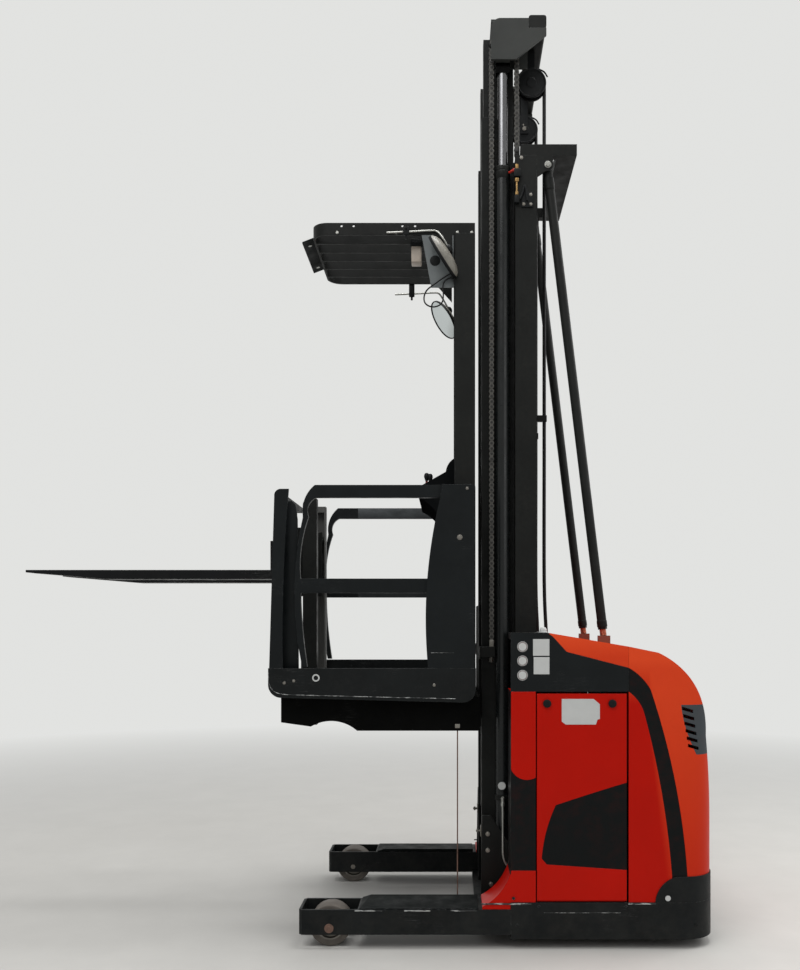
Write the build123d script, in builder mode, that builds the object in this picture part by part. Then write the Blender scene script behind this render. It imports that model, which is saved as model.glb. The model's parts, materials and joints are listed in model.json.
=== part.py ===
"""Order picker truck with a two stage mast, lifting cab and auxiliary fork lift.

Millimetres. +X points to the drive end, the forks point to -X, +Z is up and the floor is z = 0.
Left is -Y. The mast is modelled partly raised, so that the cab stands above the support legs.
"""

import os
from math import hypot, sqrt

from build123d import *

os.makedirs("parts", exist_ok=True)

# Driving sizes
half_length = 1657.0
half_width = 650.0
mast_height = 3968.0
mast_raise = 410.0
cab_floor_z = 1135.0
gap = 0.3
moving_gap = 6.0

# Chassis
chassis_length = 945.0
floor_gap = 45.0
skirt_top = 212.0
body_inset = 5.0
rear_corner_radius = 150.0
plate = 12.0
tray_floor = 75.0
mast_bay_clearance = 16.0
battery_length = 364.0
battery_height = 784.0
battery_clearance = 14.0
tray_clearance = 4.0
bulkhead_height = 1120.0
bulkhead_thickness = 10.0

# Support legs and load wheels
leg_length = 968.0
leg_width = 192.0
leg_bottom = 66.0
leg_top = 180.0
leg_well_length = 268.0
leg_nose_chamfer = 14.0
load_wheel_setback = 138.0
load_wheel_radius = 95.0
load_wheel_width = 108.0
load_axle_radius = 12.5
cover_length = 544.0
cover_setback = 8.0
cover_inset = 2.0
cover_thickness = 5.0
cover_crown = 12.0
cover_slope_length = 40.0

# Drive unit
drive_axle_from_rear = 232.0
drive_wheel_radius = 155.0
drive_wheel_width = 90.0
drive_axle_radius = 25.0
wheel_well = 364.0
shelf_z = 350.0
shelf_thickness = 25.0
shelf_half_width = 220.0
turntable_radius = 150.0
turntable_hole_radius = 121.0
turntable_thickness = 18.0
gearbox_length = 110.0
gearbox_width = 52.0
gearbox_clearance = 8.0
gearbox_drop = 60.0
motor_size = 190.0
motor_height = 300.0
bore_clearance = 0.1

# Body panels
hood_length = 407.0
hood_wall = 12.0
hood_front_rise = 1380.0
door_front_offset = 119.0
door_rear_offset = 9.0
door_top = 1165.0
door_thickness = 25.0
seam = 5.0
recess = 2.0
band_bottom = 1174.0
band_thickness = 20.0
band_drop = 160.0
deck_top = 1443.0
deck_level_length = 168.0
deck_fall = 63.0
deck_thickness = 30.0
bumper_length = 286.0
bumper_top = 330.0
corner_upper_bottom = 782.0
corner_lower_top = 357.0
corner_toe_length = 130.0
corner_toe_depth = 200.0
vent_slots = 6
vent_setback = 243.0
vent_length = 52.0
vent_step = 5.5
vent_top = 1106.0
vent_pitch = 34.0
vent_slot_height = 15.0
vent_slope = 16.0

# Outer mast
mast_lead = 122.0
rail_depth = 152.0
rail_width = 50.0
rail_web = 14.0
rail_flange = 14.0
column_inset = 262.0
column_depth = 102.0
column_width = 88.0
column_wall = 8.0
column_drop = 223.0
rail_inset = 78.0
mast_depth = 262.0
crossbeam_height = 90.0
crossbeam_depth = 50.0
crossbeam_levels = (330.0, 1270.0, 2400.0, 3580.0)
foot_bracket_height = 380.0
foot_bracket_thickness = 10.0
foot_bracket_foot = 40.0
top_frame_reach = 195.0
top_frame_height = 53.0
top_frame_arm_width = 48.0
top_frame_overlap = 77.0
top_beam_depth = 95.0
gusset_thickness = 12.0

# Struts between mast head frame and body
strut_inset = 38.0
strut_radius = 23.0
strut_top_reach = 55.0
strut_top_drop = 45.0
strut_foot_setback = 67.0
strut_lug = 56.0
strut_lug_width = 44.0
strut_lug_height = 34.0
strut_spindle = 60.0
strut_spindle_radius = 15.0

# Lift cylinders
cylinder_setback = 100.0
cylinder_inset = 35.0
barrel_radius = 33.0
barrel_bottom_wall = 20.0
barrel_drop = 45.0
rod_radius = 25.0
rod_length = 3300.0
rod_eye_height = 49.0
rod_eye_length = 68.0
rod_eye_width = 48.0

# Inner mast
inner_setback = 10.0
inner_depth = 148.0
inner_width = 56.0
inner_web = 14.0
inner_flange = 14.0
inner_clearance = 8.0
inner_length = 3891.0
inner_bar_depth = 12.0
inner_bar_height = 70.0
inner_bar_insets = (68.0, 383.0)

# Mast head
head_clearance = 33.0
head_setback = 42.0
head_length = 266.0
head_height = 213.0
head_plate = 12.0
head_plate_drop = 14.0
head_corner = 46.0
head_wall_inset = 37.0
head_wall = 10.0
link_plate = 14.0
head_beam_depth = 85.0
head_beam_height = 61.0
head_beam_corner = 12.0

# Sheaves and chains
chain_offset = 7.0
chain_pitch_radius = 61.0
sheave_drop = 126.0
sheave_width = 26.0
sheave_pin_radius = 15.0
chain_width = 22.0
chain_height = 24.0
chain_waist = 17.0
chain_pitch = 25.4
links_per_wave = 3
chain_front_anchor = 236.0
chain_rear_anchor = 18.0
hose_sheave_setback = 60.0
hose_sheave_inset = 36.0
hose_sheave_drop = 241.0
hose_sheave_radius = 74.0
hose_sheave_width = 40.0
hose_sheave_rim = 6.0
hanger_half = 20.0
hanger_thickness = 8.0
hose_radius = 9.0
hose_offset = 66.0
hose_clamp_z = 2520.0
hose_clamp = 24.0
hose_clamp_height = 30.0
hose_front_end = 345.0

# Cab
cab_setback = 34.0
cab_length = 977.0
cab_inset = 137.0
floor_thickness = 25.0
sill_height = 139.0
sill_thickness = 13.0
sill_corner = 62.0
sill_rear_drop = 22.0
fork_bay_depth = 196.0
fork_bay_half_width = 330.0
underframe_front = 48.0
underframe_rear_gap = 13.0
underframe_depth = 163.0
underframe_inset = 76.0
underframe_plate = 12.0
underframe_beam = 40.0
underframe_beam_lift = 45.0
carriage_rise = 440.0
carriage_clearance = 6.0
carriage_side_plate = 14.0
carriage_roller_levels = (-55.0, 345.0)
anchor_reach = 62.0
anchor_width = 34.0
anchor_height = 50.0

# Cab sides
panel_gap = 2.0
side_panel_rise = 1004.0
side_panel_length = 223.0
front_panel_rise = 983.0
front_panel_width = 64.0
front_panel_lean = 24.0
post_depth = 101.0
post_inset = 163.0
post_width = 50.0
post_chamfer = 6.0

# Overhead guard
guard_rise = 2299.0
guard_setback = 180.0
guard_rail_height = 59.0
guard_plate = 10.0
guard_corner = 80.0
guard_bar_count = 5
guard_bar_height = 45.0
guard_bar_thickness = 10.0
guard_gusset = 102.0
front_plate_reach = 65.0
front_plate_drop = 25.0
front_plate_thickness = 8.0
front_plate_half_width = 210.0
mirror_arm_radius = 7.0
mirror_arm_length = 262.0
mirror_arm_setback = 329.0
mirror_drop = 172.0
mirror_half_width = 60.0
mirror_half_height = 100.0
mirror_depth = 22.0
mirror_corner = 50.0
screen_thickness = 5.0
screen_bottom = 1004.0

# Side gates
gate_inset = 20.0
gate_thickness = 25.0
gate_setback = 123.0
gate_rise = 1004.0
gate_rail_height = 60.0
gate_mid_rise = 562.0
gate_mid_height = 68.0
gate_rear_gap = 116.0
gate_link_width = 45.0
gate_post_width = 24.0
gate_bow = 34.0
gate_corner = 60.0
gate_pivot_gap = 76.0
gate_pivot_rise = 755.0
gate_arm_half_height = 30.0
gate_arm_overhang = 28.0
gate_pin_radius = 12.0

# Console
console_reach = 279.0
console_rise = 1015.0
console_back_rise = 1115.0
console_foot_rise = 765.0
console_cheek = 12.0
console_cheek_rise = 1170.0
console_cheek_reach = 142.0

# Auxiliary fork lift
aux_setback = 116.0
aux_depth = 70.0
aux_outside_y = 200.0
aux_width = 50.0
aux_wall = 8.0
aux_corner = 32.0
aux_rise = 976.0
aux_drop = 160.0
fork_rise = 613.0
fork_thickness = 45.0
fork_tip_thickness = 12.0
fork_taper = 400.0
fork_width = 120.0
fork_y = 230.0
fork_heel_setback = 15.0
fork_shank_rise = 756.0
backrest_rise = 986.0
backrest_bar = 30.0
backrest_post_y = (60.0, 110.0)
carriage_bar_depth = 25.0
carriage_side_gap = 8.0
carriage_bracket = 14.0


def block(x, y, z, mode=Mode.ADD):
    """Add a box given as its low and high corner along each axis."""
    with Locations(((x[0] + x[1]) / 2, (y[0] + y[1]) / 2, (z[0] + z[1]) / 2)):
        Box(x[1] - x[0], y[1] - y[0], z[1] - z[0], mode=mode)


def side(sign, low, high):
    """Range along Y on the left (-1) or right (+1) for two distances from the middle."""
    return tuple(sorted((sign * low, sign * high)))


def side_face(steps):
    """Closed face in the XZ plane from points and arcs: an arc is a pair of a middle and an end point."""
    with BuildSketch(Plane.XZ) as face:
        with BuildLine():
            here = steps[0]
            for step in (*steps[1:], steps[0]):
                if isinstance(step[0], tuple):
                    ThreePointArc(here, *step)
                    here = step[1]
                elif step != here:
                    Line(here, step)
                    here = step
        make_face()
    return face.sketch


def side_profile(steps, y, mode=Mode.ADD):
    """Extrude a side view between two Y values."""
    extrude(side_face(steps).moved(Location((0, y[1], 0))), amount=y[1] - y[0], mode=mode)


def cross_cylinder(x, z, y, radius, mode=Mode.ADD):
    """Add a cylinder along Y between two Y values."""
    with Locations(Location((x, (y[0] + y[1]) / 2, z), (90, 0, 0))):
        Cylinder(radius, y[1] - y[0], mode=mode)


def cross_roller(x, z, y, radius, faces):
    """Add a wheel or roller along Y, with flats so narrow that it reads as round."""
    with BuildSketch(Plane.XZ) as rim:
        with Locations((x, z)):
            RegularPolygon(radius, faces)
    extrude(rim.sketch.moved(Location((0, y[1], 0))), amount=y[1] - y[0])


def upright(x, y, z, radius, mode=Mode.ADD):
    """Add a cylinder along Z between two heights."""
    with Locations((x, y, (z[0] + z[1]) / 2)):
        Cylinder(radius, z[1] - z[0], mode=mode)


def plan_outline(front_x, inset, z):
    """Extrude the body's plan, with its round rear corners, between two heights."""
    rear = half_length - inset
    half = half_width - inset
    radius = rear_corner_radius - inset
    with BuildSketch(Plane.XY.offset(z[0])) as plan:
        with BuildLine():
            Polyline((rear - radius, -half), (front_x, -half), (front_x, half), (rear - radius, half))
            RadiusArc((rear - radius, half), (rear, half - radius), radius)
            Line((rear, half - radius), (rear, radius - half))
            RadiusArc((rear, radius - half), (rear - radius, -half), radius)
        make_face()
    return extrude(plan.sketch, amount=z[1] - z[0], mode=Mode.PRIVATE)


def finish(piece, name):
    """Label a piece and write it."""
    piece.label = name
    export_step(piece, f"parts/{name}.step")


sides = (("left", -1), ("right", 1))
quarter_sagitta = 1 - sqrt(0.5)
wheel_faces, sheave_faces, roller_faces, hose_faces = 36, 20, 12, 8

# Places along the truck
rear_x = half_length
chassis_front_x = rear_x - chassis_length
hood_front_x = rear_x - hood_length
deck_rear_x = hood_front_x - gap
drive_x = rear_x - drive_axle_from_rear
leg_front_x = chassis_front_x - leg_length
load_wheel_x = leg_front_x + load_wheel_setback
mast_front_x = chassis_front_x - mast_lead
rail_rear_x = mast_front_x + rail_depth
column_rear_x = mast_front_x + mast_depth
column_front_x = column_rear_x - column_depth
bay_rear_x = column_rear_x + cover_setback
inner_front_x = mast_front_x + inner_setback
inner_rear_x = inner_front_x + inner_depth
cylinder_x = mast_front_x + cylinder_setback
chain_x = cylinder_x + chain_offset
head_front_x = mast_front_x + head_setback
head_rear_x = head_front_x + head_length
hose_sheave_x = head_rear_x - hose_sheave_setback
cab_rear_x = mast_front_x - cab_setback
cab_front_x = cab_rear_x - cab_length
fork_bay_rear_x = cab_front_x + fork_bay_depth
underframe_rear_x = mast_front_x - underframe_rear_gap
post_front_x = cab_rear_x - post_depth
guard_front_x = cab_front_x + guard_setback
gate_front_x = cab_front_x + gate_setback
gate_rear_x = cab_rear_x - gate_rear_gap
gate_pivot_x = cab_rear_x - gate_pivot_gap
aux_front_x = cab_front_x + aux_setback
aux_rear_x = aux_front_x + aux_depth
fork_heel_x = cab_front_x + fork_heel_setback

# Places across the truck, as distances from the middle
body_half = half_width - body_inset
leg_inner_y = half_width - leg_width
load_wheel_y = half_width - leg_width / 2
battery_half = body_half - door_thickness - battery_clearance
column_outer_y = half_width - column_inset
column_inner_y = column_outer_y - column_width
bay_half = column_outer_y + mast_bay_clearance
rail_outer_y = column_outer_y - rail_inset
rail_inner_y = rail_outer_y - rail_width
cylinder_y = column_outer_y - cylinder_inset
strut_y = column_outer_y - strut_inset
inner_outer_y = rail_inner_y - inner_clearance
inner_inner_y = inner_outer_y - inner_width
carriage_y = inner_inner_y - carriage_clearance
head_y = column_outer_y + moving_gap
head_wall_y = cylinder_y - head_wall_inset
hose_y = inner_inner_y + hose_sheave_inset
cab_half = half_width - cab_inset
underframe_y = cab_half - underframe_inset
post_outer_y = cab_half - post_inset + post_width / 2
post_inner_y = post_outer_y - post_width
guard_half = cab_half - post_inset
gate_outer_y = cab_half - gate_inset
gate_inner_y = gate_outer_y - gate_thickness
aux_inner_y = aux_outside_y - aux_width

# Heights
deck_low = deck_top - deck_thickness
motor_bottom = shelf_z + shelf_thickness + gap + turntable_thickness
column_top = mast_height - column_drop
barrel_top = column_top - barrel_drop
head_top = mast_height + mast_raise + head_clearance
head_bottom = head_top - head_height
head_plate_top = head_top - head_plate_drop
inner_top = head_plate_top - link_plate
inner_bottom = inner_top - inner_length
sheave_z = head_top - sheave_drop
hose_sheave_z = head_top - hose_sheave_drop
chain_front_low = cab_floor_z + chain_front_anchor
chain_rear_low = column_top + chain_rear_anchor
hose_front_low = cab_floor_z + hose_front_end
floor_top = cab_floor_z + floor_thickness
sill_top = cab_floor_z + sill_height
underframe_bottom = cab_floor_z - underframe_depth
carriage_top = cab_floor_z + carriage_rise
side_panel_top = cab_floor_z + side_panel_rise
front_panel_top = cab_floor_z + front_panel_rise
guard_top = cab_floor_z + guard_rise
guard_low = guard_top - guard_rail_height
gate_top = cab_floor_z + gate_rise
gate_mid_top = cab_floor_z + gate_mid_rise
gate_pivot_z = cab_floor_z + gate_pivot_rise
aux_top = cab_floor_z + aux_rise
aux_bottom = cab_floor_z - aux_drop
fork_top = cab_floor_z + fork_rise
fork_shank_top = cab_floor_z + fork_shank_rise
backrest_top = cab_floor_z + backrest_rise

# Chassis frame: skirt, tray for the battery, bay for the mast and carrier for the drive unit
battery_x = (bay_rear_x + plate, bay_rear_x + plate + battery_length)
bulkhead_x = (battery_x[1] + tray_clearance, battery_x[1] + tray_clearance + bulkhead_thickness)
well_x = (drive_x - wheel_well / 2, drive_x + wheel_well / 2)
with BuildPart() as chassis_frame:
    add(plan_outline(chassis_front_x, 0.0, (floor_gap, skirt_top)))
    block((chassis_front_x - 1, bay_rear_x), (-bay_half, bay_half), (tray_floor, skirt_top),
          mode=Mode.SUBTRACT)
    tray_half = battery_half + tray_clearance
    block((battery_x[0] - tray_clearance, battery_x[1] + tray_clearance), (-tray_half, tray_half),
          (tray_floor, skirt_top), mode=Mode.SUBTRACT)
    block(well_x, (-wheel_well / 2, wheel_well / 2), (floor_gap, skirt_top), mode=Mode.SUBTRACT)
    block((mast_front_x - 30, chassis_front_x), (-leg_inner_y, leg_inner_y), (floor_gap, tray_floor))
    block(bulkhead_x, (-battery_half, battery_half), (skirt_top, bulkhead_height))
    shelf_x = (bulkhead_x[1], well_x[1])
    block(shelf_x, (-shelf_half_width, shelf_half_width), (shelf_z, shelf_z + shelf_thickness))
    for name, sign in sides:
        block(shelf_x, side(sign, shelf_half_width - plate, shelf_half_width), (skirt_top, shelf_z))
    upright(drive_x, 0, (shelf_z, shelf_z + shelf_thickness), turntable_hole_radius, mode=Mode.SUBTRACT)
finish(chassis_frame.part, "chassis_frame")

# Support legs: open boxes with a round nose and a well for the load wheel
for name, sign in sides:
    with BuildPart() as leg:
        block((leg_front_x, chassis_front_x), side(sign, leg_inner_y, half_width), (leg_bottom, leg_top))
        chamfer(leg.edges().filter_by(Axis.Z).group_by(Axis.X)[0], leg_nose_chamfer)
        well = (leg_front_x + plate, leg_front_x + leg_well_length)
        block(well, side(sign, leg_inner_y + plate, half_width - plate), (0, leg_top), mode=Mode.SUBTRACT)
        cross_cylinder(load_wheel_x, load_wheel_radius, side(sign, leg_inner_y - 1, half_width + 1),
                       load_axle_radius + gap, mode=Mode.SUBTRACT)
    finish(leg.part, f"support_leg_{name}")

    with BuildPart() as wheel:
        half_tread = load_wheel_width / 2
        tread = side(sign, load_wheel_y - half_tread, load_wheel_y + half_tread)
        cross_roller(load_wheel_x, load_wheel_radius, tread, load_wheel_radius, wheel_faces)
        cross_cylinder(load_wheel_x, load_wheel_radius, tread, load_axle_radius + bore_clearance,
                       mode=Mode.SUBTRACT)
    finish(wheel.part, f"load_wheel_{name}")

# Covers of the legs, rising to the inner edge, with a sloped front end
cover_x = (leg_front_x + leg_well_length + cover_setback,
           leg_front_x + leg_well_length + cover_setback + cover_length)
with BuildPart() as leg_covers:
    outer_y, inner_y = half_width - cover_inset, leg_inner_y + cover_inset
    crown = leg_top + cover_crown + cover_thickness
    for name, sign in sides:
        with BuildSketch(Plane.YZ.offset(cover_x[0])):
            with BuildLine():
                Polyline((sign * outer_y, leg_top), (sign * inner_y, leg_top), (sign * inner_y, crown),
                         (sign * outer_y, leg_top + cover_thickness), close=True)
            make_face()
    extrude(amount=cover_length)
    side_profile(((cover_x[0], leg_top + cover_thickness), (cover_x[0], crown),
                  (cover_x[0] + cover_slope_length, crown)),
                 (-half_width, half_width), mode=Mode.SUBTRACT)
finish(leg_covers.part, "leg_covers")

with BuildPart() as load_axles:
    for name, sign in sides:
        cross_cylinder(load_wheel_x, load_wheel_radius, side(sign, leg_inner_y, half_width),
                       load_axle_radius)
finish(load_axles.part, "load_axles")

# Battery
with BuildPart() as battery:
    block(battery_x, (-battery_half, battery_half), (tray_floor, tray_floor + battery_height))
finish(battery.part, "battery")

# Drive unit: turntable on the shelf, gearbox beside the steered wheel, and the motor on top
gearbox_y = (drive_wheel_width / 2 + gearbox_clearance,
             drive_wheel_width / 2 + gearbox_clearance + gearbox_width)
with BuildPart() as drive_unit:
    with BuildSketch(Plane.XY.offset(shelf_z + shelf_thickness + gap)):
        with Locations((drive_x, 0)):
            RegularPolygon(turntable_radius, sheave_faces)
    extrude(amount=motor_bottom - shelf_z - shelf_thickness - gap)
    block((drive_x - gearbox_length / 2, drive_x + gearbox_length / 2), gearbox_y,
          (drive_wheel_radius - gearbox_drop, shelf_z + shelf_thickness + gap))
    cross_cylinder(drive_x, drive_wheel_radius, (-drive_wheel_width / 2, gearbox_y[0]), drive_axle_radius)
finish(drive_unit.part, "drive_unit")

with BuildPart() as drive_motor:
    reach = (-motor_size / 2, motor_size / 2)
    block((drive_x + reach[0], drive_x + reach[1]), reach, (motor_bottom, motor_bottom + motor_height))
finish(drive_motor.part, "drive_motor")

with BuildPart() as drive_wheel:
    tread = (-drive_wheel_width / 2, drive_wheel_width / 2)
    cross_roller(drive_x, drive_wheel_radius, tread, drive_wheel_radius, wheel_faces)
    cross_cylinder(drive_x, drive_wheel_radius, tread, drive_axle_radius + bore_clearance,
                   mode=Mode.SUBTRACT)
finish(drive_wheel.part, "drive_wheel")

# Rear hood: a shell whose side view falls in arcs to the rear. Points are behind the hood's front
hood_brow, hood_shoulder, hood_back = (136.0, 1352.0), (287.0, 1229.0), (364.0, 970.0)
hood_waist, hood_foot = (393.0, 650.0), (402.0, 311.0)
stripe_rear_arcs = (((50.0, 1246.7), (100.4, 1182.9)), ((191.5, 859.2), (274.0, skirt_top)))
stripe_front_arcs = (((137.0, 790.0), (73.0, 1068.9)), ((48.0, 1125.0), (0.0, 1174.0)))
stripe_top = 1283.0
stripe_foot = 205.0


def behind_hood_front(point):
    """Place of a hood point in the side view."""
    return (hood_front_x + point[0], point[1])


def hood_solid(inset):
    """The hood's outer form, or its hollow for a positive inset."""
    cut = 1 if inset else 0
    low, front = skirt_top - cut, hood_front_x - cut
    corners = (hood_brow, hood_shoulder, hood_back, hood_waist, hood_foot)
    brow, shoulder, back, waist, foot = (
        (hood_front_x + x - inset, z - inset) for x, z in corners)
    with BuildPart(mode=Mode.PRIVATE) as form:
        side_profile((foot, (foot[0], low), (front, low), (front, hood_front_rise - inset), brow,
                      (shoulder, back), (waist, foot)), (-half_width, half_width))
        add(plan_outline(front - 1, body_inset + inset, (low, deck_top)), mode=Mode.INTERSECT)
    return form.part


with BuildPart() as rear_hood:
    add(hood_solid(0.0))
    add(hood_solid(hood_wall), mode=Mode.SUBTRACT)
    foot_front = behind_hood_front((stripe_foot, skirt_top))
    stripe = (behind_hood_front((0.0, stripe_top)),
              *(tuple(behind_hood_front(p) for p in arc) for arc in stripe_rear_arcs), foot_front,
              *(tuple(behind_hood_front(p) for p in arc) for arc in stripe_front_arcs))
    for name, sign in sides:
        side_profile(stripe, side(sign, body_half - recess, body_half), mode=Mode.SUBTRACT)
        for index in range(vent_slots):
            x, z = hood_front_x + vent_setback + index * vent_step, vent_top - index * vent_pitch
            side_profile(((x, z), (x + vent_length, z - vent_slope),
                          (x + vent_length, z - vent_slope - vent_slot_height), (x, z - vent_slot_height)),
                         side(sign, bay_half, half_width), mode=Mode.SUBTRACT)
finish(rear_hood.part, "rear_hood")

# Rear bumper: a thick plate round the rear of the skirt, with swept front ends
bumper_front_x = rear_x - bumper_length
with BuildPart() as rear_bumper:
    add(plan_outline(bumper_front_x, 0.0, (skirt_top, bumper_top)))
    add(plan_outline(bumper_front_x - 1, body_inset - gap, (skirt_top, bumper_top)), mode=Mode.SUBTRACT)
    sweep_height = bumper_top - skirt_top
    side_profile(((bumper_front_x, skirt_top), ((bumper_front_x + 30, skirt_top + sweep_height * 0.64),
                  (bumper_front_x + 100, bumper_top)), (bumper_front_x, bumper_top)),
                 (-half_width, half_width), mode=Mode.SUBTRACT)
finish(rear_bumper.part, "rear_bumper")

# Body: corner covers beside the mast, in two red parts with a recessed plate between them
corner_x = (chassis_front_x, chassis_front_x + door_front_offset - seam)
corner_y = (bay_half + cover_setback, body_half)
with BuildPart() as corner_covers:
    toe_x = chassis_front_x - corner_toe_length
    for name, sign in sides:
        block(corner_x, side(sign, *corner_y), (skirt_top, band_bottom))
        side_profile(((corner_x[0], corner_lower_top), (corner_x[0], corner_upper_bottom + 40),
                      ((corner_x[0] + 25, corner_upper_bottom + 6), (corner_x[1], corner_upper_bottom)),
                      (corner_x[1], corner_lower_top)),
                     side(sign, corner_y[1] - recess, corner_y[1]), mode=Mode.SUBTRACT)
        side_profile(((toe_x, leg_top + gap), (corner_x[0] - gap, leg_top + gap),
                      (corner_x[0] - gap, skirt_top + gap),
                      (corner_x[0] + 1, skirt_top + gap), (corner_x[0] + 1, corner_lower_top),
                      ((corner_x[0] - 55, leg_top + 70), (toe_x, leg_top + 12))),
                     side(sign, body_half - corner_toe_depth, body_half))
finish(corner_covers.part, "corner_covers")

# Battery doors, each tipping out about its round lower edge, with a recessed sweep
door_x = (chassis_front_x + door_front_offset, hood_front_x - door_rear_offset)
door_hinge_z = skirt_top + gap + door_thickness / 2
sweep_top, sweep_brow = (0.0, 547.0), (-178.0, 492.0)
sweep_nose, sweep_front, sweep_toe = (-324.0, 444.0), (-369.0, 318.0), (-388.0, 200.0)
sweep_heel, sweep_foot = (-365.0, 173.0), (0.0, 148.0)
for name, sign in sides:
    with BuildPart() as door:
        block(door_x, side(sign, body_half - door_thickness, body_half), (door_hinge_z, door_top))
        hinge_y = sign * (body_half - door_thickness / 2)
        with Locations(Location(((door_x[0] + door_x[1]) / 2, hinge_y, door_hinge_z), (0, 90, 0))):
            Cylinder(door_thickness / 2, door_x[1] - door_x[0])
        top, brow, nose, front, toe, heel, foot = (
            (door_x[1] + x, skirt_top + z) for x, z in
            (sweep_top, sweep_brow, sweep_nose, sweep_front, sweep_toe, sweep_heel, sweep_foot))
        side_profile((top, (brow, nose), (front, toe), heel, foot),
                     side(sign, body_half - recess, body_half), mode=Mode.SUBTRACT)
    finish(door.part, f"battery_door_{name}")


# Side bands along the deck's edge, and the deck between them
deck_level_x = chassis_front_x + deck_level_length
deck_rear_top = deck_top - deck_fall
band_rear_top = deck_top - band_drop
band_step = ((chassis_front_x + 193.0, deck_top - 19.0), (chassis_front_x + 255.0, deck_top - 87.0))


def deck_height(x):
    """Height of the deck's top at one place along the truck."""
    return deck_top - max(0.0, x - deck_level_x) * deck_fall / (deck_rear_x - deck_level_x)


with BuildPart() as side_bands:
    for name, sign in sides:
        side_profile(((chassis_front_x, band_bottom), (chassis_front_x, deck_top), (deck_level_x, deck_top),
                      *band_step, (deck_rear_x, band_rear_top), (deck_rear_x, band_bottom)),
                     side(sign, body_half - band_thickness, body_half))
finish(side_bands.part, "side_bands")

with BuildPart() as deck:
    half = body_half - band_thickness
    side_profile(((chassis_front_x, deck_low), (chassis_front_x, deck_top), (deck_level_x, deck_top),
                  (deck_rear_x, deck_rear_top), (deck_rear_x, deck_rear_top - deck_thickness),
                  (deck_level_x, deck_low)), (-half, half))
    block((chassis_front_x - 1, bay_rear_x), (-bay_half, bay_half), (deck_low, deck_top),
          mode=Mode.SUBTRACT)
    for name, sign in sides:
        side_profile(((deck_level_x, deck_top), *band_step, (deck_rear_x, band_rear_top),
                      (deck_rear_x, deck_rear_top)), side(sign, half, body_half))
finish(deck.part, "deck_cover")

# Outer mast
for name, sign in sides:
    with BuildPart() as outer_rail:
        height = (tray_floor, mast_height)
        block((mast_front_x, rail_rear_x), side(sign, rail_outer_y - rail_web, rail_outer_y), height)
        for x in (mast_front_x, rail_rear_x - rail_flange):
            block((x, x + rail_flange), side(sign, rail_inner_y, rail_outer_y), height)
    finish(outer_rail.part, f"outer_rail_{name}")

with BuildPart() as columns:
    height = (tray_floor, column_top)
    anchor_half = chain_width / 2
    for name, sign in sides:
        block((column_front_x, column_rear_x), side(sign, column_inner_y, column_outer_y), height)
        block((column_front_x + column_wall, column_rear_x - column_wall),
              side(sign, column_inner_y + column_wall, column_outer_y - column_wall), height,
              mode=Mode.SUBTRACT)
        block((rail_rear_x, column_front_x), side(sign, column_inner_y, rail_outer_y), height)
        block((column_front_x, column_front_x + 20), side(sign, cylinder_y - anchor_half,
                                                          cylinder_y + anchor_half),
              (column_top - 1, chain_rear_low))
        foot_x = mast_front_x - moving_gap
        side_profile(((foot_x, leg_top + gap), (column_rear_x, leg_top + gap),
                      (column_rear_x, leg_top + foot_bracket_foot),
                      (mast_front_x + foot_bracket_foot, leg_top + foot_bracket_height),
                      (mast_front_x, leg_top + foot_bracket_height), (foot_x, leg_top + foot_bracket_foot)),
                     side(sign, column_outer_y, column_outer_y + foot_bracket_thickness))
finish(columns.part, "mast_columns")

hose_rear_x = hose_sheave_x + hose_offset
hose_front_x = hose_sheave_x - hose_offset
with BuildPart() as crossbeams:
    for z in crossbeam_levels:
        block((column_rear_x - crossbeam_depth, column_rear_x), (-column_inner_y, column_inner_y),
              (z, z + crossbeam_height))
    for name, sign in sides:
        clamp_y = side(sign, hose_y - hose_clamp / 2, hose_y + hose_clamp / 2)
        block((column_rear_x, hose_rear_x + hose_clamp / 2), clamp_y,
              (hose_clamp_z - hose_clamp_height, hose_clamp_z))
        block((column_rear_x - hose_clamp / 2, column_rear_x), clamp_y,
              (hose_clamp_z - 2 * hose_clamp_height, hose_clamp_z))
finish(crossbeams.part, "mast_crossbeams")

strut_top = (column_rear_x + strut_top_reach, column_top - strut_top_drop)
with BuildPart() as top_frame:
    frame_z = (column_top, column_top + top_frame_height)
    frame_rear_x = column_rear_x + top_frame_reach
    for name, sign in sides:
        block((column_rear_x - top_frame_overlap, frame_rear_x),
              side(sign, column_outer_y - top_frame_arm_width, column_outer_y), frame_z)
        side_profile(((column_rear_x, column_top), (strut_top[0] + 25, column_top),
                      (strut_top[0] + 25, strut_top[1] - 12), ((strut_top[0] + 12, strut_top[1] - 26),
                      (strut_top[0] - 10, strut_top[1] - 30)), (column_rear_x, strut_top[1] - 60)),
                     side(sign, column_outer_y - gusset_thickness, column_outer_y))
    block((frame_rear_x - top_beam_depth, frame_rear_x), (-column_outer_y, column_outer_y), frame_z)
finish(top_frame.part, "mast_top_frame")

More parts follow.
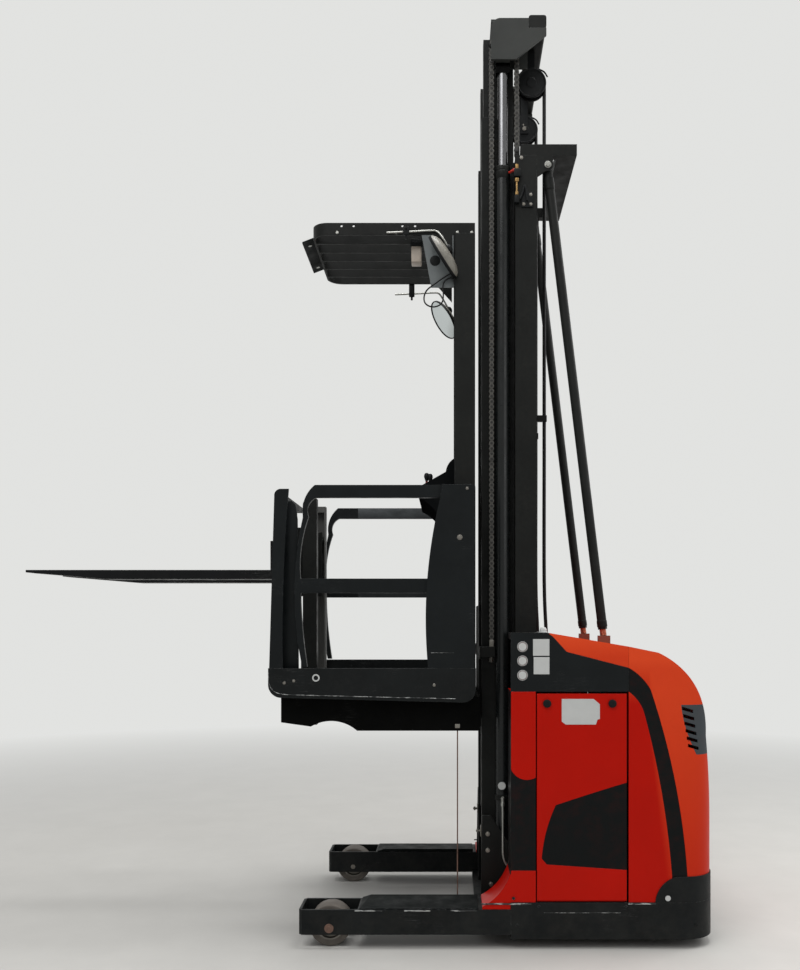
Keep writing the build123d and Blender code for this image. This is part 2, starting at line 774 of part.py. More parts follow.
# Struts from the head frame to the deck, each on a spindle in a lug
strut_foot_x = hood_front_x - strut_foot_setback
with BuildPart() as struts:
    foot_z = deck_height(strut_foot_x) + strut_lug_height / 2
    dx, dz = strut_foot_x - strut_top[0], foot_z - strut_top[1]
    tube_length = hypot(dx, dz) - strut_spindle
    for name, sign in sides:
        lean = Plane(origin=(strut_top[0], sign * strut_y, strut_top[1]), z_dir=(dx, 0, dz))
        with BuildSketch(lean) as tube:
            Circle(strut_radius)
        extrude(tube.sketch, amount=tube_length)
        with BuildSketch(lean.offset(tube_length)) as spindle:
            RegularPolygon(strut_spindle_radius, 6)
        extrude(spindle.sketch, amount=strut_spindle)
        lug = (strut_foot_x - strut_lug / 2, strut_foot_x + strut_lug / 2)
        side_profile(((lug[0], deck_height(lug[0])), (lug[1], deck_height(lug[1])),
                      (lug[1], foot_z + strut_lug_height / 2), (lug[0], foot_z + strut_lug_height / 2)),
                     side(sign, strut_y - strut_lug_width / 2, strut_y + strut_lug_width / 2))
finish(struts.part, "mast_struts")

# Lift cylinders, with the plunger rods that carry the mast head
with BuildPart() as barrels:
    for name, sign in sides:
        upright(cylinder_x, sign * cylinder_y, (tray_floor, barrel_top), barrel_radius)
        upright(cylinder_x, sign * cylinder_y, (tray_floor + barrel_bottom_wall, barrel_top),
                rod_radius + bore_clearance, mode=Mode.SUBTRACT)
finish(barrels.part, "lift_cylinders")

eye_x = (cylinder_x - rod_eye_length / 2, cylinder_x + rod_eye_length / 2)
with BuildPart() as rods:
    rod_top = head_bottom - rod_eye_height
    for name, sign in sides:
        upright(cylinder_x, sign * cylinder_y, (rod_top - rod_length, rod_top), rod_radius)
        block(eye_x, side(sign, cylinder_y - rod_eye_width / 2, cylinder_y + rod_eye_width / 2),
              (rod_top, head_bottom))
finish(rods.part, "cylinder_rods")

# Inner mast
for name, sign in sides:
    with BuildPart() as inner_rail:
        height = (inner_bottom, inner_top)
        block((inner_front_x, inner_rear_x), side(sign, inner_outer_y - inner_web, inner_outer_y), height)
        for x in (inner_front_x, inner_rear_x - inner_flange):
            block((x, x + inner_flange), side(sign, inner_inner_y, inner_outer_y), height)
        cross_roller(mast_front_x + rail_depth / 2, inner_bottom + 80,
                     side(sign, inner_outer_y, rail_outer_y - rail_web - cover_inset),
                     rail_depth / 2 - rail_flange - gap, roller_faces)
    finish(inner_rail.part, f"inner_rail_{name}")

# Mast head: side plates with a round front corner and a swept rear, link plates and inner walls
beam_x = (head_rear_x - head_beam_depth, head_rear_x)
beam_bottom = head_top - head_beam_height
with BuildPart() as heads:
    rise = head_corner * quarter_sagitta
    front_corner = ((head_front_x, head_plate_top - head_corner),
                    ((head_front_x + rise, head_plate_top - rise), (head_front_x + head_corner,
                                                                    head_plate_top)))
    rear_corner = ((beam_x[0], head_plate_top), (beam_x[0], beam_bottom), (head_rear_x, beam_bottom),
                   (head_rear_x, beam_bottom - 35))
    for name, sign in sides:
        side_profile(((head_front_x, head_bottom), *front_corner, *rear_corner,
                      (cylinder_x + 80, head_bottom + 15), (cylinder_x + 60, head_bottom)),
                     side(sign, head_y, head_y + head_plate))
        block((head_front_x, beam_x[0]), side(sign, inner_inner_y, head_y), (inner_top, head_plate_top))
        block((head_front_x, beam_x[0]), side(sign, head_wall_y, head_wall_y + head_wall),
              (head_bottom, inner_top))
        block(eye_x, side(sign, head_wall_y, head_y), (head_bottom, head_bottom + link_plate))
finish(heads.part, "mast_heads")

with BuildPart() as inner_bars:
    for z in (inner_bottom + inner_bar_insets[0], inner_top - inner_bar_insets[1]):
        block((inner_rear_x, inner_rear_x + inner_bar_depth), (-inner_outer_y, inner_outer_y),
              (z, z + inner_bar_height))
finish(inner_bars.part, "inner_crossbars")

with BuildPart() as head_beam:
    with BuildSketch(Plane.XZ.offset(-head_y - head_plate)):
        with Locations(((beam_x[0] + beam_x[1]) / 2, (beam_bottom + head_top) / 2)):
            RectangleRounded(head_beam_depth, head_beam_height, head_beam_corner)
    extrude(amount=2 * (head_y + head_plate))
finish(head_beam.part, "head_beam")

with BuildPart() as sheaves:
    for name, sign in sides:
        half = sheave_width / 2
        cross_roller(chain_x, sheave_z, side(sign, cylinder_y - half, cylinder_y + half),
                     chain_pitch_radius - chain_height / 2 - gap, sheave_faces)
        cross_cylinder(chain_x, sheave_z, side(sign, head_wall_y + head_wall, cylinder_y - half),
                       sheave_pin_radius)
finish(sheaves.part, "chain_sheaves")

# Hose sheaves: grooved wheels under the head beam
with BuildPart() as hose_sheaves:
    core = hose_offset - hose_radius - gap
    half = hose_sheave_width / 2
    for name, sign in sides:
        cross_roller(hose_sheave_x, hose_sheave_z, side(sign, hose_y - half, hose_y + half), core,
                     sheave_faces)
        for low in (hose_y - half, hose_y + half - hose_sheave_rim):
            cross_roller(hose_sheave_x, hose_sheave_z, side(sign, low, low + hose_sheave_rim),
                         hose_sheave_radius,
                         sheave_faces)
        block((hose_sheave_x - hanger_half, hose_sheave_x + hanger_half),
              side(sign, hose_y - half - hanger_thickness, hose_y - half),
              (hose_sheave_z - 25, beam_bottom))
finish(hose_sheaves.part, "hose_sheaves")


def chain_strand(x, sign, low):
    """One strand of leaf chain, swelling at its outer plates, from its anchor up to its sheave."""
    wave = chain_pitch * links_per_wave
    count = int((sheave_z - low) / wave)
    step = (sheave_z - low) / count
    front, rear = [], []
    for index in range(count):
        z = low + index * step
        for level, width in ((z, chain_waist), (z + step / 2, chain_height)):
            front.append((x - width / 2, level))
            rear.append((x + width / 2, level))
    front.append((x - chain_waist / 2, sheave_z))
    rear.append((x + chain_waist / 2, sheave_z))
    side_profile((*front, *reversed(rear)), side(sign, cylinder_y - chain_width / 2,
                                                 cylinder_y + chain_width / 2))


# Leaf chains
for node, x, low in (("lift_chain_front", chain_x - chain_pitch_radius, chain_front_low),
                     ("lift_chain_rear", chain_x + chain_pitch_radius, chain_rear_low)):
    with BuildPart() as chain:
        for name, sign in sides:
            chain_strand(x, sign, low)
    finish(chain.part, node)

# Mast hoses, over their sheaves
for node, x, low in (("mast_hose_front", hose_front_x, hose_front_low),
                     ("mast_hose_rear", hose_rear_x, hose_clamp_z)):
    with BuildPart() as hose:
        for name, sign in sides:
            with BuildSketch(Plane.XY.offset(low)):
                with Locations((x, sign * hose_y)):
                    RegularPolygon(hose_radius, hose_faces)
        extrude(amount=hose_sheave_z - low)
    finish(hose.part, node)

# Cab: floor with side sills of round lower corners, open at the front for the fork lift
with BuildPart() as platform:
    swell = sill_corner * quarter_sagitta
    sill_rear_low = cab_floor_z - sill_rear_drop
    side_profile(((cab_front_x, sill_top), (cab_front_x, cab_floor_z + sill_corner),
                  ((cab_front_x + swell, cab_floor_z + swell), (cab_front_x + sill_corner, cab_floor_z)),
                  (cab_rear_x - sill_corner, sill_rear_low),
                  ((cab_rear_x - swell, sill_rear_low + swell), (cab_rear_x, sill_rear_low + sill_corner)),
                  (cab_rear_x, sill_top)), (-cab_half, cab_half))
    inside = cab_half - sill_thickness
    for z in ((floor_top, sill_top), (sill_rear_low, cab_floor_z)):
        block((cab_front_x, cab_rear_x), (-inside, inside), z, mode=Mode.SUBTRACT)
    block((cab_front_x, fork_bay_rear_x), (-fork_bay_half_width, fork_bay_half_width),
          (cab_floor_z, floor_top),
          mode=Mode.SUBTRACT)
finish(platform.part, "cab_platform")

with BuildPart() as underframe:
    front_x = cab_front_x + underframe_front
    rise = underframe_bottom + underframe_plate + 28
    for name, sign in sides:
        side_profile(((front_x, cab_floor_z), (front_x, rise), (front_x + 68, rise - 10),
                      (front_x + 143, rise - 20),
                      ((front_x + 253, rise + 6), (front_x + 363, underframe_bottom)),
                      (underframe_rear_x, underframe_bottom), (underframe_rear_x, cab_floor_z)),
                     side(sign, underframe_y - underframe_plate, underframe_y))
    for x in (fork_bay_rear_x, underframe_rear_x - underframe_beam):
        block((x, x + underframe_beam), (-underframe_y, underframe_y),
              (underframe_bottom + underframe_beam_lift, cab_floor_z))
finish(underframe.part, "cab_underframe")

# Cab carriage with its rollers in the inner mast and the anchors of the lift chains
with BuildPart() as cab_carriage:
    carriage_x = (underframe_rear_x, mast_front_x)
    block(carriage_x, (-inner_outer_y, inner_outer_y), (underframe_bottom, carriage_top))
    anchor_half = anchor_width / 2
    block((carriage_x[0], carriage_x[1] - moving_gap), (-cylinder_y - anchor_half,
                                                        cylinder_y + anchor_half),
          (chain_front_low - anchor_height - 10, chain_front_low))
    plate_rear_x = inner_rear_x - 20
    clamp_z = (hose_front_low - hose_clamp_height - 10, hose_front_low)
    for name, sign in sides:
        block((carriage_x[1], plate_rear_x), side(sign, carriage_y - carriage_side_plate, carriage_y),
              (underframe_bottom + hose_clamp, carriage_top - 20))
        for level in carriage_roller_levels:
            cross_roller(inner_front_x + inner_depth / 2, cab_floor_z + level,
                         side(sign, carriage_y, inner_outer_y - inner_web - 4),
                         inner_depth / 2 - inner_flange - gap,
                         roller_faces)
        block((plate_rear_x, hose_front_x - hose_clamp / 2), side(sign, carriage_y - 30, carriage_y - 2),
              clamp_z)
        block((hose_front_x - hose_clamp / 2, hose_front_x + hose_clamp / 2),
              side(sign, carriage_y - 30, hose_y + hose_clamp / 2), clamp_z)
        block((carriage_x[0], mast_front_x + anchor_reach),
              side(sign, cylinder_y - anchor_half, cylinder_y + anchor_half),
              (chain_front_low - anchor_height, chain_front_low))
finish(cab_carriage.part, "cab_carriage")

# Cab sides: a wide panel with a hollow front edge at the rear, a tall round topped one at the front
panel_y = (cab_half - sill_thickness, cab_half)
for name, sign in sides:
    with BuildPart() as rear_panel:
        rear, front = cab_rear_x - panel_gap, cab_rear_x - panel_gap - side_panel_length
        side_profile(((rear, sill_top), (rear, side_panel_top - 14),
                      ((rear - 4, side_panel_top - 4), (rear - 14, side_panel_top)),
                      (front + 68, side_panel_top), (front + 56, side_panel_top - 68),
                      ((front + 12, side_panel_top - 300), (front, sill_top))), side(sign, *panel_y))
    finish(rear_panel.part, f"cab_side_panel_{name}")

    with BuildPart() as front_panel:
        front = cab_front_x + panel_gap + 3
        top = front + front_panel_lean
        side_profile(((front, sill_top), (top, front_panel_top - 34),
                      ((top + 8, front_panel_top - 10), (top + 28, front_panel_top)),
                      (top + front_panel_width + 4, front_panel_top),
                      ((front + front_panel_width + 4, front_panel_top - 400),
                       (front + front_panel_width, sill_top))),
                     side(sign, *panel_y))
    finish(front_panel.part, f"front_panel_{name}")

with BuildPart() as posts:
    for name, sign in sides:
        block((post_front_x, cab_rear_x), side(sign, post_inner_y, post_outer_y), (floor_top, guard_low))
    chamfer(posts.edges().filter_by(Axis.Z), post_chamfer)
finish(posts.part, "guard_posts")

# Overhead guard: a rail bent round, bars along it, and gussets over the posts
with BuildPart() as guard:
    depth = cab_rear_x - guard_front_x
    with BuildSketch(Plane.XY.offset(guard_low)) as loop:
        with Locations((guard_front_x + depth / 2, 0)):
            Rectangle(depth, 2 * guard_half)
        fillet(loop.vertices().group_by(Axis.X)[0], guard_corner)
        offset(amount=-guard_plate, mode=Mode.SUBTRACT)
    extrude(amount=guard_rail_height)
    pitch = 2 * guard_half / (guard_bar_count + 1)
    for index in range(guard_bar_count):
        y = -guard_half + (index + 1) * pitch
        block((guard_front_x + guard_plate / 2, cab_rear_x - guard_plate / 2),
              (y - guard_bar_thickness / 2, y + guard_bar_thickness / 2),
              (guard_low, guard_low + guard_bar_height))
    for name, sign in sides:
        side_profile(((post_front_x - guard_gusset, guard_low), (post_front_x - 10,
                                                                 guard_low - guard_gusset),
                      (post_front_x - 10, guard_low)), side(sign, guard_half - guard_plate, guard_half))
        side_profile(((post_front_x - guard_gusset, guard_low + 1), (post_front_x, guard_low - 1),
                      (post_front_x, guard_low + 1)), side(sign, guard_half - guard_plate, guard_half))
finish(guard.part, "overhead_guard")

with BuildPart() as light_plate:
    plate_top = guard_top - 14
    side_profile(((guard_front_x, plate_top), (guard_front_x - front_plate_reach,
                                               plate_top - front_plate_drop),
                  (guard_front_x - front_plate_reach, plate_top - front_plate_drop - front_plate_thickness),
                  (guard_front_x, plate_top - front_plate_thickness)),
                 (-front_plate_half_width, front_plate_half_width))
finish(light_plate.part, "guard_front_plate")

# Mirrors: an arm along each guard rail, bent down to an oval dish
with BuildPart() as mirrors:
    for name, sign in sides:
        arm_y = sign * (guard_half + mirror_arm_radius + gap)
        start_x = cab_rear_x - mirror_arm_setback - 100
        elbow_x = start_x + mirror_arm_length
        arm_z = guard_low + 8
        with BuildLine(mode=Mode.PRIVATE) as arm:
            FilletPolyline((start_x, arm_y, arm_z), (elbow_x, arm_y, arm_z),
                           (elbow_x + 48, arm_y, guard_low - mirror_drop / 2), radius=30)
        with BuildSketch(Plane(origin=(start_x, arm_y, arm_z), z_dir=(1, 0, 0))) as section:
            RegularPolygon(mirror_arm_radius, hose_faces)
        sweep(sections=section.sketch, path=arm.line)
        with BuildSketch(Plane.XZ.offset(-arm_y)) as oval:
            with Locations((elbow_x + 4, guard_low - mirror_drop / 2)):
                RectangleRounded(2 * mirror_half_width, 2 * mirror_half_height, mirror_corner)
        extrude(oval.sketch, amount=mirror_depth * -sign)
finish(mirrors.part, "mirrors")

# Clear rear screen between the posts
with BuildPart() as screen:
    block((cab_rear_x - screen_thickness, cab_rear_x), (-post_inner_y + gap, post_inner_y - gap),
          (cab_floor_z + screen_bottom, guard_low - gap))
finish(screen.part, "rear_screen")

# Console between the posts, with round cheek plates
with BuildPart() as console:
    front, mid = cab_rear_x - console_reach, post_front_x - 55
    side_profile(((front, cab_floor_z + console_rise), (post_front_x, cab_floor_z + console_back_rise),
                  (post_front_x, cab_floor_z + console_foot_rise), (mid, cab_floor_z + console_foot_rise),
                  ((mid - 35, cab_floor_z + console_rise - 120), (front + 4,
                                                                  cab_floor_z + console_rise - 50))),
                 (-post_inner_y, post_inner_y))
    cheek_front, cheek_top = cab_rear_x - console_cheek_reach, cab_floor_z + console_cheek_rise
    for name, sign in sides:
        side_profile(((cheek_front, cab_floor_z + console_rise), (cheek_front, cheek_top - 100),
                      ((cheek_front + 22, cheek_top - 28), (cheek_front + 80, cheek_top)),
                      (cab_rear_x - 20, cheek_top), (cab_rear_x - 20, cab_floor_z + console_rise)),
                     side(sign, post_inner_y - console_cheek, post_inner_y))
finish(console.part, "console")

# Side gates: a bowed front post running over a round corner into the top rail
for name, sign in sides:
    with BuildPart() as gate:
        y = side(sign, gate_inner_y, gate_outer_y)
        low = sill_top + moving_gap
        post_x = gate_front_x + gate_bow
        corner_low = gate_top - 150
        outer = ((post_x, low), ((gate_front_x, gate_mid_top), (post_x + 4, corner_low)),
                 ((post_x + 22, gate_top - 45), (post_x + gate_corner, gate_top)),
                 (gate_rear_x, gate_top), (gate_rear_x, gate_mid_top - gate_mid_height),
                 (gate_front_x + gate_post_width + 3, gate_mid_top - gate_mid_height),
                 ((gate_front_x + gate_post_width + 14, gate_mid_top - 260),
                  (post_x + gate_post_width, low)))
        side_profile(outer, y)
        window = ((gate_front_x + gate_post_width + 2, gate_mid_top),
                  ((gate_front_x + gate_post_width + 10, gate_mid_top + 180),
                   (post_x + gate_post_width + 6, corner_low)),
                  ((post_x + gate_post_width + 14, gate_top - gate_rail_height - 22),
                   (post_x + gate_post_width + 42, gate_top - gate_rail_height)),
                  (gate_rear_x - gate_link_width, gate_top - gate_rail_height),
                  (gate_rear_x - gate_link_width, gate_mid_top))
        side_profile(window, y, mode=Mode.SUBTRACT)
        block((gate_rear_x - gate_link_width, gate_pivot_x + gate_arm_overhang), y,
              (gate_pivot_z - gate_arm_half_height, gate_pivot_z + gate_arm_half_height))
        cross_cylinder(gate_pivot_x, gate_pivot_z, y, gate_pin_radius + bore_clearance, mode=Mode.SUBTRACT)
    finish(gate.part, f"gate_{name}")

with BuildPart() as gate_pins:
    for name, sign in sides:
        cross_cylinder(gate_pivot_x, gate_pivot_z, side(sign, gate_inner_y, panel_y[0]), gate_pin_radius)
finish(gate_pins.part, "gate_pins")

# Auxiliary mast with round tops, and its fork carriage
aux_x = (aux_front_x + aux_wall, aux_rear_x - aux_wall)
with BuildPart() as aux_rails:
    round_rise = aux_corner * quarter_sagitta
    for name, sign in sides:
        side_profile(((aux_front_x, aux_bottom), (aux_front_x, aux_top - aux_corner),
                      ((aux_front_x + round_rise, aux_top - round_rise),
                       (aux_front_x + aux_corner, aux_top)),
                      (aux_rear_x, aux_top), (aux_rear_x, aux_bottom)),
                      side(sign, aux_inner_y, aux_outside_y))
        block(aux_x, side(sign, aux_inner_y, aux_outside_y - aux_wall), (aux_bottom, aux_top - aux_corner),
              mode=Mode.SUBTRACT)
        block((aux_rear_x, fork_bay_rear_x), side(sign, aux_inner_y, aux_outside_y),
              (underframe_bottom + underframe_beam_lift, floor_top))
finish(aux_rails.part, "aux_rails")

bar_x = (fork_heel_x, fork_heel_x + carriage_bar_depth)
bracket_outer_y = aux_inner_y - carriage_side_gap
bracket_low = fork_top - 120
with BuildPart() as fork_carriage:
    reach = fork_y + fork_width / 2
    for z in ((fork_top - 40, fork_top + 20), (fork_shank_top - 60, fork_shank_top),
              (backrest_top - backrest_bar, backrest_top)):
        block(bar_x, (-reach, reach), z)
    for name, sign in sides:
        block(bar_x, side(sign, *backrest_post_y), (fork_top - 40, backrest_top))
        block((bar_x[1], aux_x[1] - 8), side(sign, bracket_outer_y - carriage_bracket, bracket_outer_y),
              (bracket_low, fork_shank_top + 80))
        block(bar_x, side(sign, backrest_post_y[0], bracket_outer_y), (bracket_low, fork_top - 40))
        for z in (fork_top - 30, fork_shank_top + 40):
            cross_roller((aux_x[0] + aux_x[1]) / 2, z, side(sign, bracket_outer_y,
                                                            aux_outside_y - aux_wall - 4),
                         (aux_x[1] - aux_x[0]) / 2 - gap, roller_faces)
finish(fork_carriage.part, "fork_carriage")

for name, sign in sides:
    with BuildPart() as fork:
        y = side(sign, fork_y - fork_width / 2, fork_y + fork_width / 2)
        bend = fork_thickness * 0.8
        side_profile(((-half_length, fork_top - fork_tip_thickness), (-half_length, fork_top),
                      (fork_heel_x - fork_thickness, fork_top), (fork_heel_x - fork_thickness,
                                                                 fork_shank_top),
                      (fork_heel_x, fork_shank_top), (fork_heel_x, fork_top - fork_thickness + bend),
                      ((fork_heel_x - bend * quarter_sagitta,
                        fork_top - fork_thickness + bend * quarter_sagitta),
                       (fork_heel_x - bend, fork_top - fork_thickness)),
                      (-half_length + fork_taper, fork_top - fork_thickness)), y)
    finish(fork.part, f"fork_{name}")
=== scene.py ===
"""Looks of the order picker truck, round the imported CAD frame. Metres, +Z up, forks at -X, left at -Y."""

import json
import math

import bmesh
import bpy
from mathutils import Matrix, Vector


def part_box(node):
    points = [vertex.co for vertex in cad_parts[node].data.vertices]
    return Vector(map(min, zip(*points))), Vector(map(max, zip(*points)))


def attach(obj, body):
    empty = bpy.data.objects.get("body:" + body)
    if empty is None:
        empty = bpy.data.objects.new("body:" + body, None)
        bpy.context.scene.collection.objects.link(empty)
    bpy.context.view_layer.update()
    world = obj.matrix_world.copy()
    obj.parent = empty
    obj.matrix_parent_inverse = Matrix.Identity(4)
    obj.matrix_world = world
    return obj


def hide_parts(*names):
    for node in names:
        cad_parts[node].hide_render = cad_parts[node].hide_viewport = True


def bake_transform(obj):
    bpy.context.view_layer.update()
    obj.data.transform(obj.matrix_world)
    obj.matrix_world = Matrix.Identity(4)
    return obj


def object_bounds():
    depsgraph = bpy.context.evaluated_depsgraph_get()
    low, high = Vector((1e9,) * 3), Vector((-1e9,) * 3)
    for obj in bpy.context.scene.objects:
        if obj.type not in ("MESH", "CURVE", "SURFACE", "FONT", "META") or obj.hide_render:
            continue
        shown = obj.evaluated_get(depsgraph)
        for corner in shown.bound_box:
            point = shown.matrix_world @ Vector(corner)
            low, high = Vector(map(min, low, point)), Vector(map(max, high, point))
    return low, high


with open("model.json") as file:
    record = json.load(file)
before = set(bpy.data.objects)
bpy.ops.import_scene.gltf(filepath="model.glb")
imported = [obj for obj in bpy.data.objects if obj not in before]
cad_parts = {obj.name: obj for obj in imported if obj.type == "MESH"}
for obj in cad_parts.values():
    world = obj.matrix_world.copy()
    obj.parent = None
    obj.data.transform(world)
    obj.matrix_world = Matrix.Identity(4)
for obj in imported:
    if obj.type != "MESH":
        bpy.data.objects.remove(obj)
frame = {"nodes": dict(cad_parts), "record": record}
cad_low, cad_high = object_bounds()
nodes = frame["nodes"]
slot_of = {part["node"]: part["material_slot"] for part in frame["record"]["subparts"]}
SIDES = {"left": -1, "right": 1}
SIGNS = tuple(SIDES.values())

# Camera: level, square to the truck's left side, with the photograph's own framing
CAMERA_PLACE = (0.434, -5.09, 1.502)
LENS = 36.15
SHIFT = (-0.0515, 0.139)

scene = bpy.context.scene
camera_data = bpy.data.cameras.new("camera")
camera_data.lens = LENS
camera_data.sensor_width = 36.0
camera_data.shift_x, camera_data.shift_y = SHIFT
camera = bpy.data.objects.new("camera", camera_data)
camera.location = CAMERA_PLACE
camera.rotation_euler = (math.radians(90), 0, 0)
scene.collection.objects.link(camera)
scene.camera = camera
scene.view_settings.view_transform = "Standard"


# Node helpers for procedural materials
def new_material(name):
    material = bpy.data.materials.new(name)
    material.use_nodes = True
    tree = material.node_tree
    return material, tree, tree.nodes["Principled BSDF"]


def noise(tree, scale, detail=4.0, rough=0.55, stretch=(1, 1, 1), offset=0.0):
    """A noise value over the object's own metres."""
    place = tree.nodes.new("ShaderNodeTexCoord")
    mapping = tree.nodes.new("ShaderNodeMapping")
    mapping.inputs["Scale"].default_value = stretch
    mapping.inputs["Location"].default_value = (offset, offset, offset)
    texture = tree.nodes.new("ShaderNodeTexNoise")
    texture.inputs["Scale"].default_value = scale
    texture.inputs["Detail"].default_value = detail
    texture.inputs["Roughness"].default_value = rough
    tree.links.new(place.outputs["Object"], mapping.inputs["Vector"])
    tree.links.new(mapping.outputs["Vector"], texture.inputs["Vector"])
    return texture.outputs["Fac"]


def ramp(tree, value, low, high, bottom=0.0, top=1.0):
    """Map a value between two levels to a range, 0 to 1 unless given."""
    node = tree.nodes.new("ShaderNodeMapRange")
    for name, number in (("From Min", low), ("From Max", high), ("To Min", bottom), ("To Max", top)):
        node.inputs[name].default_value = number
    tree.links.new(value, node.inputs["Value"])
    return node.outputs["Result"]


def maths(tree, operation, a, b=None):
    node = tree.nodes.new("ShaderNodeMath")
    node.operation = operation
    for socket, value in zip(node.inputs, (a, b)):
        if isinstance(value, (int, float)):
            socket.default_value = value
        elif value is not None:
            tree.links.new(value, socket)
    return node.outputs[0]


def product(tree, first, *others):
    """The values multiplied together."""
    for value in others:
        first = maths(tree, "MULTIPLY", first, value)
    return first


def above(tree, value, level):
    """1 where a value is above a level."""
    return maths(tree, "GREATER_THAN", value, level)


def below(tree, value, level):
    """1 where a value is below a level."""
    return maths(tree, "LESS_THAN", value, level)


def between(tree, value, low, high):
    """1 where a value lies between two levels."""
    return product(tree, above(tree, value, low), below(tree, value, high))


def mix_colour(tree, factor, a, b):
    node = tree.nodes.new("ShaderNodeMix")
    node.data_type = "RGBA"
    tree.links.new(factor, node.inputs["Factor"])
    for socket, value in ((node.inputs[6], a), (node.inputs[7], b)):
        if isinstance(value, (tuple, list)):
            socket.default_value = (*value[:3], 1.0)
        else:
            tree.links.new(value, socket)
    return node.outputs[2]


def split_axes(tree, vector):
    split = tree.nodes.new("ShaderNodeSeparateXYZ")
    tree.links.new(vector, split.inputs[0])
    return split.outputs


def place_axes(tree):
    """The object's own X, Y and Z, which are the truck's metres at rest."""
    return split_axes(tree, tree.nodes.new("ShaderNodeTexCoord").outputs["Object"])


def distance_from_middle(tree):
    """Distance to the left or right of the truck's middle plane."""
    return maths(tree, "ABSOLUTE", place_axes(tree)["Y"])


def edge_mask(tree, width):
    """How far a rounded normal leans from the true one, 0 on flats to 1 on sharp edges, and that normal."""
    bevel = tree.nodes.new("ShaderNodeBevel")
    bevel.samples = 4
    bevel.inputs["Radius"].default_value = width
    geometry = tree.nodes.new("ShaderNodeNewGeometry")
    dot = tree.nodes.new("ShaderNodeVectorMath")
    dot.operation = "DOT_PRODUCT"
    tree.links.new(bevel.outputs["Normal"], dot.inputs[0])
    tree.links.new(geometry.outputs["Normal"], dot.inputs[1])
    lean = maths(tree, "SUBTRACT", 1.0, dot.outputs["Value"])
    return ramp(tree, lean, 0.02, 0.16), bevel.outputs["Normal"]


SCRATCH_GREY = (0.25, 0.25, 0.25)


def finish_surface(name, colour, rough=0.5, metallic=0.0, shade=0.25, shade_scale=5.0, edge_wear_and_highlight=None,
                   edge_wear_and_highlight_amount=0.5, dust=0.0, dust_colour=(0.32, 0.3, 0.27), low_dirt=0.0, grain=0.0,
                   grain_scale=300.0, edge=0.0025, coat=0.0, rough_spread=0.12, patches=(), scratches=0.0,
                   gloss=0.5):
    """Painted, plated or moulded surface: shade variation, dust, dirt near the floor, rubbed edges and grain.
    The grey on rubbed edges also stands in for lit edges: partly wear, partly painted highlight.

    patches are (colour, mask) pairs for more colours or painted light; mask is a function of the node tree.
    """
    material, tree, shader = new_material(name)
    dark = tuple(c * (1 - shade) for c in colour)
    light = tuple(min(1.0, c * (1 + shade * 0.6)) for c in colour)
    clouds = noise(tree, shade_scale, 6.0, 0.6)
    surface = mix_colour(tree, ramp(tree, clouds, 0.32, 0.68), dark, light)
    for patch_colour, mask in patches:
        surface = mix_colour(tree, mask(tree), surface, patch_colour)
    if dust:
        specks = ramp(tree, noise(tree, shade_scale * 9, 8.0, 0.7, offset=3.1), 0.45, 0.75)
        drifts = ramp(tree, noise(tree, shade_scale * 1.3, 3.0, 0.5, offset=7.7), 0.35, 0.7)
        surface = mix_colour(tree, product(tree, specks, drifts, dust), surface, dust_colour)
    if low_dirt:
        low = ramp(tree, place_axes(tree)["Z"], 0.05, 0.42, 1.0, 0.0)
        blotches = ramp(tree, noise(tree, 9.0, 9.0, 0.75, offset=2.2), 0.42, 0.72)
        surface = mix_colour(tree, product(tree, low, blotches, low_dirt), surface, dust_colour)
    if scratches:
        lines = noise(tree, 30.0, 3.0, 0.5, (0.25, 1, 9.0), 9.4)
        thin = ramp(tree, maths(tree, "ABSOLUTE", maths(tree, "SUBTRACT", lines, 0.5)), 0.0, 0.006, 1.0, 0.0)
        places = ramp(tree, noise(tree, 3.5, 4.0, 0.6, offset=6.6), 0.56, 0.66)
        surface = mix_colour(tree, product(tree, thin, places, scratches), surface, SCRATCH_GREY)
    sharp, rounded = edge_mask(tree, edge)
    # Lighter sharp edges: rubbed paint, and with the grey colour also painted highlight on lit edges
    if edge_wear_and_highlight:
        wear_and_highlight_patches = ramp(tree, noise(tree, 45.0, 8.0, 0.75, offset=5.3), 0.48, 0.62)
        surface = mix_colour(tree, product(tree, sharp, wear_and_highlight_patches, edge_wear_and_highlight_amount), surface, edge_wear_and_highlight)
    tree.links.new(surface, shader.inputs["Base Color"])
    smudge = noise(tree, 14.0, 5.0, 0.6, offset=1.7)
    tree.links.new(ramp(tree, smudge, 0.3, 0.7, max(0.03, rough - rough_spread),
                        min(1.0, rough + rough_spread)),
                   shader.inputs["Roughness"])
    for socket, value in (("Metallic", metallic), ("Specular IOR Level", gloss), ("Coat Weight", coat),
                          ("Coat Roughness", 0.12)):
        shader.inputs[socket].default_value = value
    bump = tree.nodes.new("ShaderNodeBump")
    bump.inputs["Strength"].default_value = grain
    bump.inputs["Distance"].default_value = 0.002
    tree.links.new(noise(tree, grain_scale, 3.0, 0.5), bump.inputs["Height"])
    tree.links.new(rounded, bump.inputs["Normal"])
    tree.links.new(bump.outputs["Normal"], shader.inputs["Normal"])
    return material


# Where a panel or part changes colour
RECESS_Y, RECESS_BAND = 0.643, 0.0006
STRIPE_REAR_X = 1.5245
CORNER_FRONT_X, CORNER_TOE_Z = 0.7128, 0.34
DECK_BLACK_X = 0.888
RIGHT_RAIL_Y = 0.1
ROD_EYE_Z = 4.148
FOOT_TOP_Z = 1.4262
VENT_Z, VENT_EDGE_X, VENT_INNER_Y = (0.885, 1.114), 1.489, 0.505
WORN_RAIL_X, WORN_RAIL_Z = (-0.09, 0.36), (2.07, 2.14)


def recess_mask(tree):
    """1 on the recess floors of doors, corner covers and hood, 7 mm inside the truck's side."""
    return between(tree, distance_from_middle(tree), RECESS_Y - RECESS_BAND, RECESS_Y + RECESS_BAND)


def stripe_mask(tree):
    """1 on the recessed stripe of the hood, not on its round rear corners."""
    return product(tree, recess_mask(tree), below(tree, place_axes(tree)["X"], STRIPE_REAR_X))


